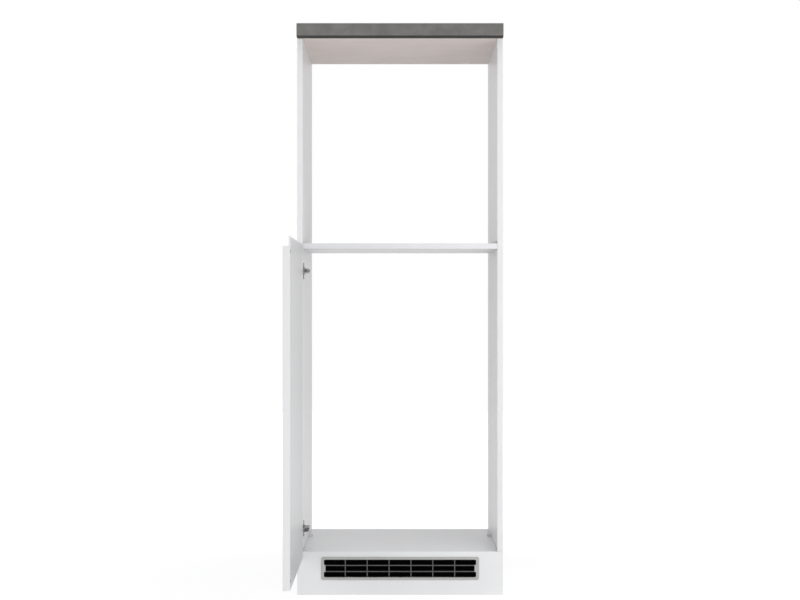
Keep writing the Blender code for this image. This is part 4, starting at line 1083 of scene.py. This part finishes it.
@dataclass
class Studio:
    """White paper floor, soft lamps and the camera of a catalogue picture.

    Attributes:
        camera_distance: Camera to the carcass front.
        camera_height: Camera above the floor.
        carcass_front: The carcass front's place along Y.
        image_width: The picture's width in pixels.
        focal_pixels: Focal length in pixels of that picture.
        horizon_pixels: How far the horizon lies below the picture's middle.
        sensor_width: The camera's sensor width in millimetres.
        sight: The distance to which the camera sees.
        floor_reach: Half the width of the floor.
        floor_drop: How far the floor lies under the unit's feet, so that they don't share a face.
        ambient: Strength of the even light on the unit.
        lit_point: What the lamps face.
        softboxes: The lamps.
    """

    camera_distance: float = 5.28
    camera_height: float = 0.846
    carcass_front: float = -8 * MM
    image_width: float = 800.0
    focal_pixels: float = 1809.0
    horizon_pixels: float = 5.0
    sensor_width: float = 36.0
    sight: float = 60.0
    floor_reach: float = 9.0
    floor_drop: float = 0.4 * MM
    ambient: float = 0.50
    lit_point: tuple[float, float, float] = (0.0, 0.1, 0.85)
    softboxes: tuple[Softbox, ...] = (
        Softbox("key_softbox", (1.5, -3.0, 0.8), (1.8, 1.6), 33.0),
        Softbox("fill_softbox", (-2.8, -4.4, 0.6), (2.6, 2.6), 50.0),
        Softbox("top_softbox", (0.2, -0.4, 4.2), (3.0, 3.0), 38.0),
    )

    def camera(self) -> None:
        """Set the camera level with the unit's middle, where the picture was taken."""
        data = bpy.data.cameras.new("camera")
        data.sensor_width = self.sensor_width
        data.lens = self.focal_pixels / self.image_width * self.sensor_width
        data.shift_y = self.horizon_pixels / self.image_width
        data.clip_end = self.sight
        made = bpy.data.objects.new("camera", data)
        bpy.context.scene.collection.objects.link(made)
        made.location = (0.0, self.carcass_front - self.camera_distance, self.camera_height)
        made.rotation_euler = (radians(90), 0.0, 0.0)
        bpy.context.scene.camera = made

    def floor(self) -> None:
        """Lay the paper that the unit stands on."""
        shape = bmesh.new()
        bmesh.ops.create_grid(shape, x_segments=1, y_segments=1, size=self.floor_reach)
        mesh = bpy.data.meshes.new("studio_floor")
        shape.to_mesh(mesh)
        shape.free()
        mesh.materials.append(StudioFloor("seamless_paper", "#ECECEC", 0.85).make())
        made = bpy.data.objects.new("studio_floor", mesh)
        bpy.context.scene.collection.objects.link(made)
        made.location = (0.0, 0.0, -self.floor_drop)

    def lamps(self) -> None:
        """Light the front softly from both sides and the top."""
        for softbox in self.softboxes:
            softbox.hang(Vector(self.lit_point))

    def surround(self) -> None:
        """Surround the set with even light, and show it as white behind the unit."""
        world = bpy.data.worlds.new("white_cyclorama")
        bpy.context.scene.world = world
        world.use_nodes = True
        tree = world.node_tree
        shown = tree.nodes["Background"]
        shown.inputs["Color"].default_value = linear("#FFFFFF")
        shown.inputs["Strength"].default_value = 1.0
        inputs = {"Color": linear("#FAFBFF"), "Strength": self.ambient}
        ambient = add_node(tree, "ShaderNodeBackground", inputs)
        inputs = {0: background_rays(tree), 1: ambient.outputs[0], 2: shown.outputs[0]}
        mixed = add_node(tree, "ShaderNodeMixShader", inputs)
        tree.links.new(mixed.outputs[0], tree.nodes["World Output"].inputs["Surface"])

    def build(self) -> None:
        """Set up the whole studio."""
        self.camera()
        self.floor()
        self.lamps()
        self.surround()
        bpy.context.scene.view_settings.view_transform = "Standard"


def main() -> None:
    """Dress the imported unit, add its small pieces and light it."""
    logging.basicConfig(level=logging.INFO, format="%(name)s: %(message)s")
    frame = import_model()
    Carcass(frame).dress()
    LOG.info("carcass: boards, worktop and dowels finished")
    VentGrille(frame).dress()
    LOG.info("vent: grille and louvre finished")
    zinc = PlatedSteel("zinc_plated_steel", "#BFC2C4", 0.34, line=0.3 * MM).make()
    fittings = CornerFittings(frame)
    fittings.dress()
    fittings.build(zinc)
    LOG.info("fittings: %d screws driven", len(fittings.built))
    door = Door(frame)
    door.dress()
    door.build(ClearDamper("clear_polyurethane", "#F4F4F2", 0.26).make())
    LOG.info("door: leaf finished, %d damper drops stuck on", len(door.built))
    ConcealedHinges(frame).dress()
    LOG.info("hinges: pressings, links, pins and screws finished")
    Studio().build()
    LOG.info("studio: camera, floor and lamps set")


if __name__ == "__main__":
    main()
